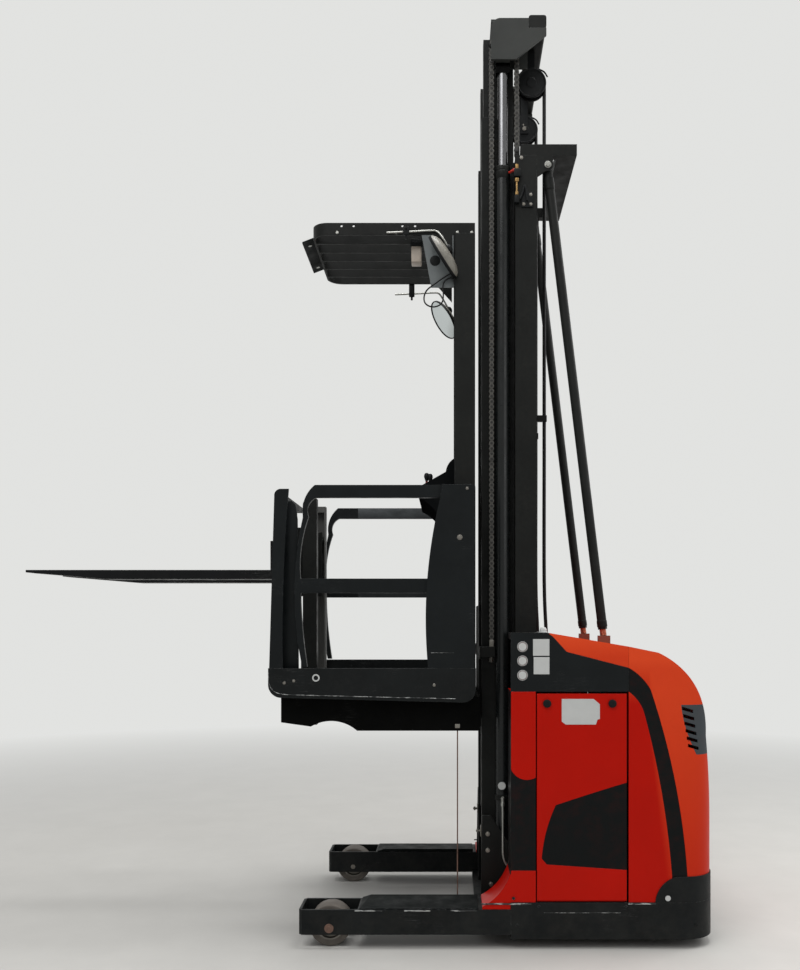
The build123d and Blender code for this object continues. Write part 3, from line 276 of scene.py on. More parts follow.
def corner_mask(tree):
    """1 on the recess and the front face of the corner covers, not on their toes."""
    axes = place_axes(tree)
    front = product(tree, below(tree, axes["X"], CORNER_FRONT_X), above(tree, axes["Z"], CORNER_TOE_Z))
    return maths(tree, "MAXIMUM", recess_mask(tree), front)


def deck_mask(tree):
    """1 on the level front part of the deck, round the mast."""
    return below(tree, place_axes(tree)["X"], DECK_BLACK_X)


def right_rail_painted_light_mask(tree):
    """1 on the right auxiliary rail, whose lighter grey is painted light."""
    return above(tree, place_axes(tree)["Y"], RIGHT_RAIL_Y)


def rod_eye_mask(tree):
    """1 on the eye blocks on top of the plunger rods."""
    return above(tree, place_axes(tree)["Z"], ROD_EYE_Z)


def vent_mask(tree):
    """1 on the grey vent panel at each rear corner of the hood, behind a curved edge."""
    axes = place_axes(tree)
    drop = maths(tree, "SUBTRACT", VENT_Z[1], axes["Z"])
    edge = maths(tree, "ADD", product(tree, drop, drop, 0.95), VENT_EDGE_X)
    edge = maths(tree, "ADD", edge, product(tree, drop, 0.10))
    return product(tree, above(tree, axes["X"], edge), between(tree, axes["Z"], *VENT_Z),
                   above(tree, distance_from_middle(tree), VENT_INNER_Y))


def foot_mask(tree):
    """1 on the lugs that hold the strut feet, just above the deck."""
    return below(tree, place_axes(tree)["Z"], FOOT_TOP_Z)


def side_facing(tree):
    """1 on faces turned to the left or right, and less on the rest."""
    normal = split_axes(tree, tree.nodes.new("ShaderNodeNewGeometry").outputs["Normal"])
    return ramp(tree, maths(tree, "ABSOLUTE", normal["Y"]), 0.0, 1.0, 0.3, 1.0)


def hood_sheen(tree):
    """Painted sheen of sky light on the hood: high near its top, and less on the panel behind the stripe."""
    axes = place_axes(tree)
    near_top = ramp(tree, axes["Z"], 1.12, 1.32, 0.0, 0.75)
    slant = maths(tree, "ADD", axes["X"], product(tree, axes["Z"], 0.12))
    behind = product(tree, ramp(tree, slant, 1.46, 1.5), ramp(tree, axes["Z"], 0.2, 1.15, 0.16, 0.6))
    return product(tree, maths(tree, "MAXIMUM", near_top, behind), side_facing(tree))


def deck_sheen(tree):
    """Painted sheen of sky light along the deck's upper edge."""
    return product(tree, ramp(tree, place_axes(tree)["Z"], 1.33, 1.42, 0.5, 0.8), side_facing(tree))


def pin_mask(tree):
    """1 on the riveted pin ends of the lift chains."""
    from_chain = maths(tree, "ABSOLUTE", maths(tree, "SUBTRACT", distance_from_middle(tree), chain_y))
    return above(tree, from_chain, PIN_END_OFFSET)


def worn_rail(tree):
    """Rubbed grey on the top rail of the right gate, strongest along its upper side."""
    axes = place_axes(tree)
    patchy = ramp(tree, noise(tree, 16.0, 5.0, 0.6, (0.6, 1, 1), 4.4), 0.35, 0.6, 0.55, 1.0)
    return product(tree, ramp(tree, axes["Z"], *WORN_RAIL_Z, 0.15, 1.0), patchy,
                   between(tree, axes["X"], *WORN_RAIL_X))


def scuff_gaps(tree):
    """1 where the black paint is still whole between scuffs."""
    return ramp(tree, noise(tree, 38.0, 6.0, 0.7, (0.6, 1, 4.0), 8.8), 0.5, 0.56, 1.0, 0.0)


# Middle planes of the lift chains, and how far from them the pin ends lie
CHAIN_HALF_WIDTH = 0.011
PIN_END_OFFSET = 0.0111
chain_low, chain_high = (Vector(corner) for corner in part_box("lift_chain_front"))
chain_y = chain_high.y - CHAIN_HALF_WIDTH

# Looks: the first thirteen are the record's slots, and the rest share a slot with one of them
STEEL = (0.42, 0.4, 0.37)
# Grey of rubbed black paint, which also stands in for lit edges: partly wear, partly painted highlight
GREY_EDGE_WEAR_AND_HIGHLIGHT = (0.2, 0.21, 0.21)
BLACK = (0.005, 0.006, 0.0062)
RED = (0.44, 0.0055, 0.001)
# LIT_RED is painted sheen: red paint as it looks in strong sky light, laid on as colour
LIT_RED = (0.8, 0.085, 0.022)
VENT_GREY = (0.055, 0.064, 0.07)
RED_PANEL = dict(colour=RED, rough=0.36, shade=0.07, shade_scale=2.5, dust=0.08,
                 dust_colour=(0.25, 0.012, 0.004), grain=0.03, coat=0.03, rough_spread=0.07, gloss=0.07,
                 edge=0.004)
BLACK_PANEL = dict(colour=(0.0062, 0.0078, 0.0084), rough=0.4, gloss=0.12, shade=0.2, edge_wear_and_highlight=GREY_EDGE_WEAR_AND_HIGHLIGHT,
                   dust=0.1, dust_colour=(0.03, 0.032, 0.034), grain=0.08, scratches=0.35)
MAST_BLACK = dict(colour=(0.0066, 0.0072, 0.0066), shade=0.3, edge_wear_and_highlight=GREY_EDGE_WEAR_AND_HIGHLIGHT, dust=0.2,
                  dust_colour=(0.04, 0.037, 0.031))
LOOKS = {
    "black_frame": dict(colour=(0.0072, 0.0085, 0.0088), gloss=0.12, shade=0.35, edge_wear_and_highlight=GREY_EDGE_WEAR_AND_HIGHLIGHT, dust=0.2,
                        dust_colour=(0.036, 0.034, 0.03), low_dirt=0.4, grain=0.15, scratches=0.6),
    "black_body": BLACK_PANEL,
    "mast_paint": dict(MAST_BLACK, gloss=0.12, grain=0.1),
    "grey_plate": dict(colour=(0.0045, 0.006, 0.006), rough=0.55, gloss=0.05, edge_wear_and_highlight=(0.3, 0.3, 0.3), dust=0.2,
                       dust_colour=(0.025, 0.024, 0.021), grain=0.12, scratches=0.6),
    "red_body": RED_PANEL,
    "battery_case": dict(colour=(0.06, 0.06, 0.065), edge_wear_and_highlight=STEEL, dust=0.3),
    "bare_steel": dict(colour=(0.21, 0.2, 0.18), rough=0.45, metallic=1.0, shade=0.35, dust=0.4,
                       dust_colour=(0.16, 0.1, 0.06), grain=0.1),
    "fork_steel": dict(colour=(0.0048, 0.0052, 0.0058), rough=0.42, gloss=0.12, shade=0.3, edge_wear_and_highlight=STEEL,
                       edge_wear_and_highlight_amount=0.8, dust=0.15, dust_colour=(0.035, 0.032, 0.03), grain=0.1,
                       scratches=0.8),
    "chrome_rod": dict(colour=(0.14, 0.14, 0.145), rough=0.24, metallic=1.0, shade=0.12, rough_spread=0.05,
                       patches=(((0.004, 0.004, 0.004), rod_eye_mask),)),
    "chain_steel": dict(colour=(0.05, 0.047, 0.041), metallic=0.3, shade=0.5, shade_scale=26, dust=0.3,
                        dust_colour=(0.014, 0.014, 0.013), grain=0.1, edge=0.001,
                        patches=(((0.0035, 0.0035, 0.003), pin_mask),)),
    "black_plastic": dict(colour=(0.0068, 0.0076, 0.008), gloss=0.12, shade=0.2, dust=0.12,
                          dust_colour=(0.04, 0.04, 0.04), grain=0.2, grain_scale=600),
    "hose_rubber": dict(colour=(0.009, 0.009, 0.009), gloss=0.14, shade=0.2, dust=0.15,
                        dust_colour=(0.05, 0.05, 0.048), grain=0.1),
    "wheel_tread": dict(colour=(0.115, 0.1, 0.085), rough=0.7, shade=0.3, shade_scale=12, dust=0.5,
                        dust_colour=(0.06, 0.052, 0.042), grain=0.2),
    "corner_red": dict(RED_PANEL, patches=((BLACK, corner_mask),)),
    # deck_red: painted sheen along the upper edge, and a black front part
    "deck_red": dict(RED_PANEL, patches=((LIT_RED, deck_sheen), (BLACK, deck_mask))),
    # rail_paint: the lighter grey on the right rail is painted light
    "rail_paint": dict(MAST_BLACK, gloss=0.14, patches=(((0.09, 0.09, 0.086), right_rail_painted_light_mask),)),
    "recessed_red": dict(RED_PANEL, patches=((BLACK, recess_mask),)),
    # striped_red: painted sheen near the top and behind the stripe, a black stripe and grey vents
    "striped_red": dict(RED_PANEL, patches=((LIT_RED, hood_sheen), (BLACK, stripe_mask),
                                            (VENT_GREY, vent_mask))),
    "label_white": dict(colour=(0.5, 0.51, 0.5), rough=0.45, shade=0.04, shade_scale=20, dust=0.15,
                        dust_colour=(0.4, 0.38, 0.34), grain=0.05),
    "worn_white": dict(colour=(0.4, 0.41, 0.4), rough=0.6, shade=0.4, shade_scale=60, grain=0.2,
                       patches=(((0.009, 0.0105, 0.011), scuff_gaps),)),
    "strut_paint": dict(colour=(0.0125, 0.0132, 0.0125), edge_wear_and_highlight=GREY_EDGE_WEAR_AND_HIGHLIGHT, gloss=0.1, dust=0.15,
                        dust_colour=(0.03, 0.028, 0.024), grain=0.1,
                        patches=(((0.2, 0.07, 0.045), foot_mask),)),
    "gate_paint": dict(BLACK_PANEL, patches=(((0.13, 0.14, 0.145), worn_rail),)),
    "matt_black": dict(colour=(0.0026, 0.0027, 0.0025), rough=0.7, gloss=0.03, shade=0.2, dust=0.1,
                       dust_colour=(0.02, 0.02, 0.018), grain=0.1, scratches=0.3),
    "matt_plastic": dict(colour=(0.0065, 0.0072, 0.0076), rough=0.8, gloss=0.0, shade=0.2, dust=0.1,
                         dust_colour=(0.03, 0.03, 0.03), grain=0.2, grain_scale=600),
    "head_paint": dict(colour=(0.034, 0.036, 0.034), gloss=0.12, shade=0.2, edge_wear_and_highlight=GREY_EDGE_WEAR_AND_HIGHLIGHT, dust=0.2,
                       dust_colour=(0.05, 0.048, 0.044), grain=0.1),
    "cylinder_paint": dict(colour=(0.006, 0.0072, 0.0074), rough=0.3, gloss=0.24, shade=0.2, dust=0.15,
                           dust_colour=(0.03, 0.029, 0.026), grain=0.05),
    "copper_thread": dict(colour=(0.42, 0.13, 0.07), rough=0.42, metallic=0.7, shade=0.35, shade_scale=60,
                          dust=0.4, dust_colour=(0.12, 0.04, 0.03), grain=0.2),
    "rusty_steel": dict(colour=(0.17, 0.1, 0.075), rough=0.55, metallic=0.5, shade=0.45, shade_scale=40,
                        dust=0.4, dust_colour=(0.07, 0.045, 0.035), grain=0.2),
    "zinc": dict(colour=(0.3, 0.3, 0.28), rough=0.35, metallic=0.9, shade=0.15, shade_scale=30, dust=0.25,
                 dust_colour=(0.2, 0.19, 0.17)),
    "tan_pad": dict(colour=(0.24, 0.2, 0.15), rough=0.6, shade=0.3, shade_scale=40, dust=0.3),
    "sign_ring": dict(colour=(0.08, 0.035, 0.035), shade=0.1, shade_scale=30),
    "brass": dict(colour=(0.32, 0.2, 0.08), rough=0.35, metallic=0.9, shade=0.4, shade_scale=60),
    "red_cap": dict(colour=(0.45, 0.02, 0.01), rough=0.4, shade=0.2, shade_scale=40, dust=0.2),
    "lamp_cream": dict(colour=(0.42, 0.36, 0.3), rough=0.4, shade=0.12, shade_scale=30, dust=0.2),
    "mirror_shell": dict(colour=(0.17, 0.16, 0.135), rough=0.45, shade=0.35, shade_scale=25, dust=0.4,
                         dust_colour=(0.05, 0.05, 0.045), grain=0.1),
    "mirror_glass": dict(colour=(0.62, 0.66, 0.66), rough=0.1, metallic=1.0, shade=0.06, rough_spread=0.04),
    "grey_paint": dict(colour=(0.095, 0.107, 0.11), rough=0.45, shade=0.15, edge_wear_and_highlight=STEEL, dust=0.2,
                       dust_colour=(0.2, 0.2, 0.18), grain=0.06),
    # Near black of the legs' adjusting holes: painted shade
    "painted_hole_shade": dict(colour=(0.002, 0.002, 0.002), rough=0.9, shade=0.1),
}


def clear_screen_material():
    """Thin clear plastic with faint dust: mostly see-through, with its own gloss."""
    material, tree, shader = new_material("clear_screen")
    shader.inputs["Base Color"].default_value = (0.85, 0.88, 0.88, 1)
    shader.inputs["Transmission Weight"].default_value = 1.0
    shader.inputs["IOR"].default_value = 1.2
    tree.links.new(ramp(tree, noise(tree, 6.0, 6.0), 0.35, 0.75, 0.02, 0.16), shader.inputs["Roughness"])
    return material


materials = {name: finish_surface(name, **look) for name, look in LOOKS.items()}
materials["clear_screen"] = clear_screen_material()

NODE_LOOKS = {"battery_door_left": "recessed_red", "battery_door_right": "recessed_red",
              "corner_covers": "corner_red", "deck_cover": "deck_red", "aux_rails": "rail_paint",
              "rear_hood": "striped_red", "mast_struts": "strut_paint", "mast_heads": "head_paint",
              "lift_cylinders": "cylinder_paint", "cab_underframe": "matt_black", "console": "matt_plastic",
              "gate_right": "gate_paint"}
for node, obj in nodes.items():
    for place in obj.material_slots:
        place.material = materials[NODE_LOOKS.get(node, slot_of[node])]


# Building helpers: a form gathers simple shapes into one mesh
def smooth_path(points, steps):
    """Points along a smooth curve through the given ones."""
    if len(points) < 3:
        return points
    padded = [points[0] * 2 - points[1], *points, points[-1] * 2 - points[-2]]
    path = []
    for a, b, c, d in zip(padded, padded[1:], padded[2:], padded[3:]):
        for k in range(steps):
            t = k / steps
            path.append(0.5 * (2 * b + (c - a) * t + (2 * a - 5 * b + 4 * c - d) * t * t
                               + (3 * b - a - 3 * c + d) * t ** 3))
    path.append(points[-1])
    return path


def add_piece(name, mesh, slot, body=None, replaces=(), blend=None, angle=35, material=None):
    """Dress a mesh and set it on its body, or, when a blend is given, leave it unattached in place."""
    for polygon in mesh.polygons:
        polygon.material_index = 0
        polygon.use_smooth = True
    mesh.set_sharp_from_angle(angle=math.radians(angle))
    mesh.materials.clear()
    mesh.materials.append(materials[material or slot])
    obj = bpy.data.objects.new(name, mesh)
    scene.collection.objects.link(obj)
    if replaces:
        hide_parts(*replaces)
    if blend:
        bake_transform(obj)
    else:
        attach(obj, body)


class Form:
    """One mesh made of boxes, rods, tubes and outlines, dressed and set on a body at the end."""

    def __init__(self, name):
        self.name = name
        self.bm = bmesh.new()

    def _take(self, other):
        mesh = bpy.data.meshes.new("part")
        other.to_mesh(mesh)
        other.free()
        self.bm.from_mesh(mesh)
        bpy.data.meshes.remove(mesh)

    def ring(self, middle, one_way, other_way, sides):
        """Points round an ellipse with those two half axes, or its middle alone where they have no length."""
        if not one_way.length:
            return [self.bm.verts.new(middle)]
        turns = (2 * math.pi * k / sides for k in range(sides))
        return [self.bm.verts.new(middle + one_way * math.cos(t) + other_way * math.sin(t)) for t in turns]

    def skin(self, rings):
        """Faces between neighbouring rings, which close to a tip at a ring of one point."""
        for one, two in zip(rings, rings[1:]):
            for k in range(max(len(one), len(two))):
                corners = dict.fromkeys((one[k % len(one)], one[(k + 1) % len(one)],
                                         two[(k + 1) % len(two)], two[k % len(two)]))
                if len(corners) > 2:
                    self.bm.faces.new(list(corners))

    def box(self, x, y, z, bevel=0.0015):
        """A box from ranges along X, Y and Z."""
        low, high = (Vector(corner) for corner in zip(x, y, z))
        size = high - low
        part = bmesh.new()
        bmesh.ops.create_cube(part, size=1.0)
        bmesh.ops.scale(part, vec=size, verts=part.verts)
        if bevel:
            bmesh.ops.bevel(part, geom=part.edges[:], offset=min(bevel, min(size) * 0.4), segments=2,
                            profile=0.6, affect="EDGES")
        bmesh.ops.translate(part, vec=(low + high) / 2, verts=part.verts)
        self._take(part)

    def rod(self, start, end, radius, sides=20, end_radius=None):
        """A cylinder or cone between two points."""
        start, end = Vector(start), Vector(end)
        part = bmesh.new()
        end_radius = radius if end_radius is None else end_radius
        bmesh.ops.create_cone(part, cap_ends=True, segments=sides, radius1=radius, radius2=end_radius,
                              depth=(end - start).length)
        turn = (end - start).to_track_quat("Z", "Y").to_matrix().to_4x4()
        bmesh.ops.transform(part, matrix=Matrix.Translation((start + end) / 2) @ turn, verts=part.verts)
        self._take(part)

    def upright(self, x, y, z, radius, sides=20):
        """A rod along Z, between two heights."""
        self.rod((x, y, z[0]), (x, y, z[1]), radius, sides)

    def lathe(self, centre, axis, profile, sides=32):
        """Revolve (radius, distance along the axis) points about an axis through the centre."""
        centre, turn = Vector(centre), Vector(axis).to_track_quat("Z", "Y")
        self.skin([self.ring(centre + turn @ Vector((0, 0, along)), turn @ Vector((radius, 0, 0)),
                             turn @ Vector((0, radius, 0)), sides) for radius, along in profile])

    def bolt(self, place, axis, radius=0.008, height=0.006):
        """A hexagon head on a round flange, standing off a face along the axis."""
        place, along = Vector(place), Vector(axis).normalized()
        self.rod(place - along * 0.001, place + along * height * 0.25, radius * 1.3, 20)
        self.rod(place, place + along * height, radius, 6)

    def side_bolts(self, places, face, radius, height):
        """Bolts at (x, z) places on both side faces, which lie at one distance from the middle."""
        for sign in SIGNS:
            for x, z in places:
                self.bolt((x, sign * face, z), (0, sign, 0), radius, height)

    def tube(self, points, radius, sides=12, steps=6):
        """A round tube along a smooth path through the points."""
        path = smooth_path([Vector(p) for p in points], steps)
        rings = []
        normal = None
        for index, point in enumerate(path):
            ahead = (path[min(index + 1, len(path) - 1)] - path[max(index - 1, 0)]).normalized()
            if normal is None:
                normal = ahead.orthogonal()
            normal = (normal - ahead * normal.dot(ahead)).normalized()
            rings.append(self.ring(point, normal * radius, ahead.cross(normal) * radius, sides))
        self.skin(rings)
        self.bm.faces.new(list(reversed(rings[0])))
        self.bm.faces.new(rings[-1])

    def plate(self, outline, y, bevel=0.0):
        """Extrude an outline of (x, z) points between two Y values."""
        part = bmesh.new()
        face = part.faces.new([part.verts.new((x, y[0], z)) for x, z in outline])
        moved = bmesh.ops.extrude_face_region(part, geom=[face])
        verts = [g for g in moved["geom"] if isinstance(g, bmesh.types.BMVert)]
        bmesh.ops.translate(part, vec=(0, y[1] - y[0], 0), verts=verts)
        bmesh.ops.recalc_face_normals(part, faces=part.faces)
        if bevel:
            rim = [e for e in part.edges if abs(e.verts[0].co.y - e.verts[1].co.y) < 1e-6]
            bmesh.ops.bevel(part, geom=rim, offset=bevel, segments=2, profile=0.5, affect="EDGES")
        self._take(part)

    def mesh(self):
        """The gathered shapes as one mesh, with its faces turned outwards."""
        bmesh.ops.recalc_face_normals(self.bm, faces=self.bm.faces)
        mesh = bpy.data.meshes.new(self.name)
        self.bm.to_mesh(mesh)
        self.bm.free()
        return mesh

    def done(self, slot, body=None, **choices):
        add_piece(self.name, self.mesh(), slot, body, **choices)


def forms(*names):
    return (Form(name) for name in names)


def across(sign, low, high):
    """Range along Y for two distances from the middle on one side."""
    return tuple(sorted((sign * low, sign * high)))


def around(middle, half):
    return (middle - half, middle + half)


# Sizes taken from the frame
def node_box(node):
    low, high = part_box(node)
    return Vector(low), Vector(high)


rear_chain_low, rear_chain_high = node_box("lift_chain_rear")
hose_low, hose_high = node_box("mast_hose_front")
rear_hose_low, rear_hose_high = node_box("mast_hose_rear")
wheel_low, wheel_high = node_box("load_wheel_left")
leg_low, leg_high = node_box("support_leg_left")
column_high = node_box("mast_columns")[1]
guard_high = node_box("overhead_guard")[1]
deck_top = node_box("deck_cover")[1].z
barrel_top = node_box("lift_cylinders")[1].z
leg_face = -leg_low.y
door_face = -node_box("battery_door_left")[0].y
band_face = -node_box("side_bands")[0].y
skirt_face = cad_high[1]
platform_low = node_box("cab_platform")[0]
sill_face = -platform_low.y

# Leaf chains with their plates and pins, over the sheaves
PITCH = 0.0254
PLATES, PLATE_STEP, PLATE_THICKNESS = 8, 0.00275, 0.0024
PLATE_HALF, PLATE_WAIST = 0.0126, 0.6
PIN_RADIUS, PIN_HALF = 0.0062, 0.0125
ARC_LINKS = 8
chain_front_x = (chain_low.x + chain_high.x) / 2
chain_rear_x = (rear_chain_low.x + rear_chain_high.x) / 2
sheave_x = (chain_front_x + chain_rear_x) / 2
sheave_radius = (chain_rear_x - chain_front_x) / 2
sheave_z = chain_high.z


def link_outline():
    """Figure of eight outline of one plate, along X from 0 to one pitch."""
    points = []
    for centre, start, way in ((PITCH, -90, 1), (0.0, 90, -1)):
        for k in range(6):
            angle = math.radians(start + 36 * k)
            points.append((centre + PLATE_HALF * math.cos(angle), PLATE_HALF * math.sin(angle)))
        points.append((PITCH / 2, way * PLATE_HALF * PLATE_WAIST))
    return points


def add_links(form, path, middle):
    """Lay plates and pins along a path of (x, z) points one pitch apart."""
    outline = link_outline()
    for index, (a, b) in enumerate(zip(path, path[1:])):
        along = Vector((b[0] - a[0], 0, b[1] - a[1])).normalized()
        side_way = Vector((-along.z, 0, along.x))
        for row in range(index % 2, PLATES, 2):
            y = middle + (row - (PLATES - 1) / 2) * PLATE_STEP - PLATE_THICKNESS / 2
            near, far = ([form.bm.verts.new(Vector((a[0], plate_y, a[1])) + along * u + side_way * v)
                          for u, v in outline] for plate_y in (y, y + PLATE_THICKNESS))
            form.bm.faces.new(near)
            form.bm.faces.new(list(reversed(far)))
            form.skin((near, far))
        form.rod((a[0], middle - PIN_HALF, a[1]), (a[0], middle + PIN_HALF, a[1]), PIN_RADIUS, 10)


def straight_path(x, low, high):
    count = round((high - low) / PITCH)
    return [(x, low + (high - low) * k / count) for k in range(count + 1)]


def arc_path(middle_x, middle_z, radius, count):
    """Half a turn over a sheave, from its front to its rear."""
    turns = (math.pi * k / count for k in range(count + 1))
    return [(middle_x - radius * math.cos(t), middle_z + radius * math.sin(t)) for t in turns]


front, rear, top = forms("front_chain_links", "rear_chain_links", "chain_over_sheaves")
for sign in SIGNS:
    add_links(front, straight_path(chain_front_x, chain_low.z, sheave_z), sign * chain_y)
    add_links(rear, straight_path(chain_rear_x, rear_chain_low.z, sheave_z), sign * chain_y)
    add_links(top, arc_path(sheave_x, sheave_z, sheave_radius, ARC_LINKS), sign * chain_y)
front.done("chain_steel", replaces=("lift_chain_front",),
           blend=("mast_inner", "cab", (chain_front_x, 0, sheave_z), (chain_front_x, 0, chain_low.z + 0.04)))
rear.done("chain_steel", replaces=("lift_chain_rear",),
          blend=("chassis", "mast_inner", (chain_rear_x, 0, rear_chain_low.z + 0.02),
                 (chain_rear_x, 0, sheave_z)))
top.done("chain_steel", "mast_inner")

# Chain anchors: threaded rods with two nuts on the cab, and bolted blocks on the outer mast
ANCHOR_HALF_X, ANCHOR_HALF_Y = 0.011, 0.014
ANCHOR_ROD = (chain_low.z - 0.075, chain_low.z + 0.004)
ANCHOR_NUT = 0.009
anchors = Form("front_chain_anchors")
for sign in SIGNS:
    y = sign * chain_y
    anchors.upright(chain_front_x, y, ANCHOR_ROD, 0.009)
    anchors.box(around(chain_front_x, ANCHOR_HALF_X), around(y, ANCHOR_HALF_Y),
                (chain_low.z, chain_low.z + 0.034), 0.003)
    for z in (ANCHOR_ROD[0], ANCHOR_ROD[0] + 0.011):
        anchors.upright(chain_front_x, y, (z, z + ANCHOR_NUT), 0.014, 6)
anchors.done("bare_steel", "cab")

rear_anchors = Form("rear_chain_anchors")
for sign in SIGNS:
    rear_anchors.box(around(chain_rear_x, ANCHOR_HALF_X), around(sign * chain_y, ANCHOR_HALF_Y),
                     (rear_chain_low.z - 0.004, rear_chain_low.z + 0.03), 0.003)
rear_anchors.side_bolts([(chain_rear_x, rear_chain_low.z + 0.012)], chain_y + ANCHOR_HALF_Y, 0.007, 0.006)
rear_anchors.done("chain_steel", "chassis")

# Mast hoses: straight runs, the bend over the sheave, and fixed ends down to the deck
HOSE_STEPS, HOSE_SIDES = 40, 16
hose_radius = (hose_high.x - hose_low.x) / 2
hose_y = hose_high.y - hose_radius
hose_front_x = hose_low.x + hose_radius
hose_rear_x = rear_hose_low.x + hose_radius
hose_sheave_x = (hose_front_x + hose_rear_x) / 2
hose_sheave_z = hose_high.z


def straight_run(form, x, y, low, high):
    """A hose run with rings all along, so that it can be stretched."""
    form.tube([(x, y, low + (high - low) * k / HOSE_STEPS) for k in range(HOSE_STEPS + 1)],
              hose_radius, HOSE_SIDES, 1)


hose_arc = arc_path(hose_sheave_x, hose_sheave_z, hose_sheave_x - hose_front_x, 16)
front_hose, rear_hose, bend, fixed_hose = forms("front_hoses", "rear_hoses", "hose_bends", "fixed_hoses")
for sign in SIGNS:
    y = sign * hose_y
    straight_run(front_hose, hose_front_x, y, hose_low.z, hose_high.z)
    straight_run(rear_hose, hose_rear_x, y, rear_hose_low.z, rear_hose_high.z)
    bend.tube([(x, y, z) for x, z in hose_arc], hose_radius, HOSE_SIDES, 1)
    fixed_hose.tube([(hose_rear_x, y, rear_hose_low.z - 0.03), (hose_rear_x, y, 2.3), (hose_rear_x, y, 1.7),
                     (hose_rear_x + 0.01, y, deck_top - 0.012)], hose_radius, HOSE_SIDES, 5)
front_hose.done("hose_rubber", replaces=("mast_hose_front",),
                blend=("mast_inner", "cab", (hose_front_x, 0, hose_high.z),
                       (hose_front_x, 0, hose_low.z + 0.05)))
rear_hose.done("hose_rubber", replaces=("mast_hose_rear",),
               blend=("chassis", "mast_inner", (hose_rear_x, 0, rear_hose_low.z + 0.03),
                      (hose_rear_x, 0, rear_hose_high.z)))
bend.done("hose_rubber", "mast_inner")
fixed_hose.done("hose_rubber", "chassis")

# Wheels with round shoulders, replacing the plain ones
SHOULDER = 0.009
HUB_HOLES = 6


def wheel(node, hub_radius, bore):
    """Tread with round shoulders on a steel hub with a dished face and a ring of bolts."""
    low, high = node_box(node)
    centre = (low + high) / 2
    radius, half = (high.z - low.z) / 2, (high.y - low.y) / 2
    tread, hub = forms(f"{node}_tread", f"{node}_hub")
    round_part = [(hub_radius, half - 0.004), (radius - SHOULDER, half),
                  (radius - SHOULDER * 0.3, half - SHOULDER * 0.3), (radius, half - SHOULDER)]
    dish = [(bore, half + 0.002), (bore * 2.0, half + 0.002), (bore * 2.1, half - 0.012),
            (hub_radius * 0.82, half - 0.016), (hub_radius * 0.9, half - 0.004),
            (hub_radius + 0.001, half - 0.004)]
    for form, profile, sides in ((tread, round_part, 72), (hub, dish, 48)):
        form.lathe(centre, (0, 1, 0), [(r, -y) for r, y in profile] + profile[::-1], sides)
    for k in range(HUB_HOLES):
        turn = 2 * math.pi * k / HUB_HOLES
        for sign in SIGNS:
            place = Vector((math.cos(turn), 0, math.sin(turn))) * hub_radius * 0.62
            hub.bolt(centre + place + Vector((0, sign * (half - 0.0145), 0)), (0, sign, 0), 0.006, 0.005)
    tread.done("wheel_tread", node, replaces=(node,))
    hub.done("bare_steel", node)


for name in SIDES:
    wheel(f"load_wheel_{name}", 0.066, 0.0135)
wheel("drive_wheel", 0.108, 0.026)

# Axle ends, dark discs of painted shade in the adjusting holes, and worn marks on the support legs and the
# skirt
wheel_x = (wheel_low.x + wheel_high.x) / 2
wheel_z = (wheel_low.z + wheel_high.z) / 2
AXLE_END = [(0, 0.003), (0.008, 0.003), (0.009, 0.0015), (0.0205, 0.0015), (0.0225, -0.002)]
LEG_HOLE_X, LEG_HOLES_Z = 0.036, (0.129, 0.076)
LEG_MARKS_X = ((0.000, 0.126), (0.225, 0.344), (0.437, 0.556))
SKIRT_MARKS = (((0.576, 0.806), (0.203, 0.210)), ((1.247, 1.374), (0.204, 0.211)),
               ((0.862, 1.212), (0.1655, 0.1675)))
axle_ends, leg_hole_shades = forms("load_axle_ends", "leg_hole_shades")
for sign in SIGNS:
    axle_ends.lathe((wheel_x, sign * leg_face, wheel_z), (0, sign, 0), AXLE_END, 36)
    # Each adjusting hole is a near black disc just proud of the leg face: painted shade
    for z in LEG_HOLES_Z:
        leg_hole_shades.rod((LEG_HOLE_X, sign * (leg_face - 0.002), z),
                      (LEG_HOLE_X, sign * (leg_face + 0.0004), z), 0.0068)
axle_ends.done("bare_steel", "chassis", material="rusty_steel")
leg_hole_shades.done("black_frame", "chassis", material="painted_hole_shade")

marks = Form("worn_marks")
for sign in SIGNS:
    for x in LEG_MARKS_X:
        marks.box(x, across(sign, leg_face - 0.001, leg_face + 0.0003),
                  (leg_high.z - 0.0075, leg_high.z - 0.0015), 0)
    for x, z in SKIRT_MARKS:
        marks.box(x, across(sign, skirt_face - 0.001, skirt_face + 0.0003), z, 0)
marks.done("black_frame", "chassis", material="worn_white")

# Taut wire from the leg to the cab, in two halves
WIRE_X, WIRE_Y, WIRE_RADIUS = 0.470, -0.430, 0.0032
WIRE_LOW, WIRE_MIDDLE, WIRE_TOP = 0.120, 0.550, 0.985
WIRE_BRACKET_Z, WIRE_BRACKET_Y = (0.104, 0.110), (-0.459, WIRE_Y + 0.014)


def wire_half(name, z, bodies, stretched_from):
    """Half of the wire, a thin rod between two heights, left unattached."""
    form = Form(name)
    form.upright(WIRE_X, WIRE_Y, z, WIRE_RADIUS, 10)
    form.done("bare_steel", material="rusty_steel",
              blend=(*bodies, (WIRE_X, WIRE_Y, stretched_from), (WIRE_X, WIRE_Y, z[1])))


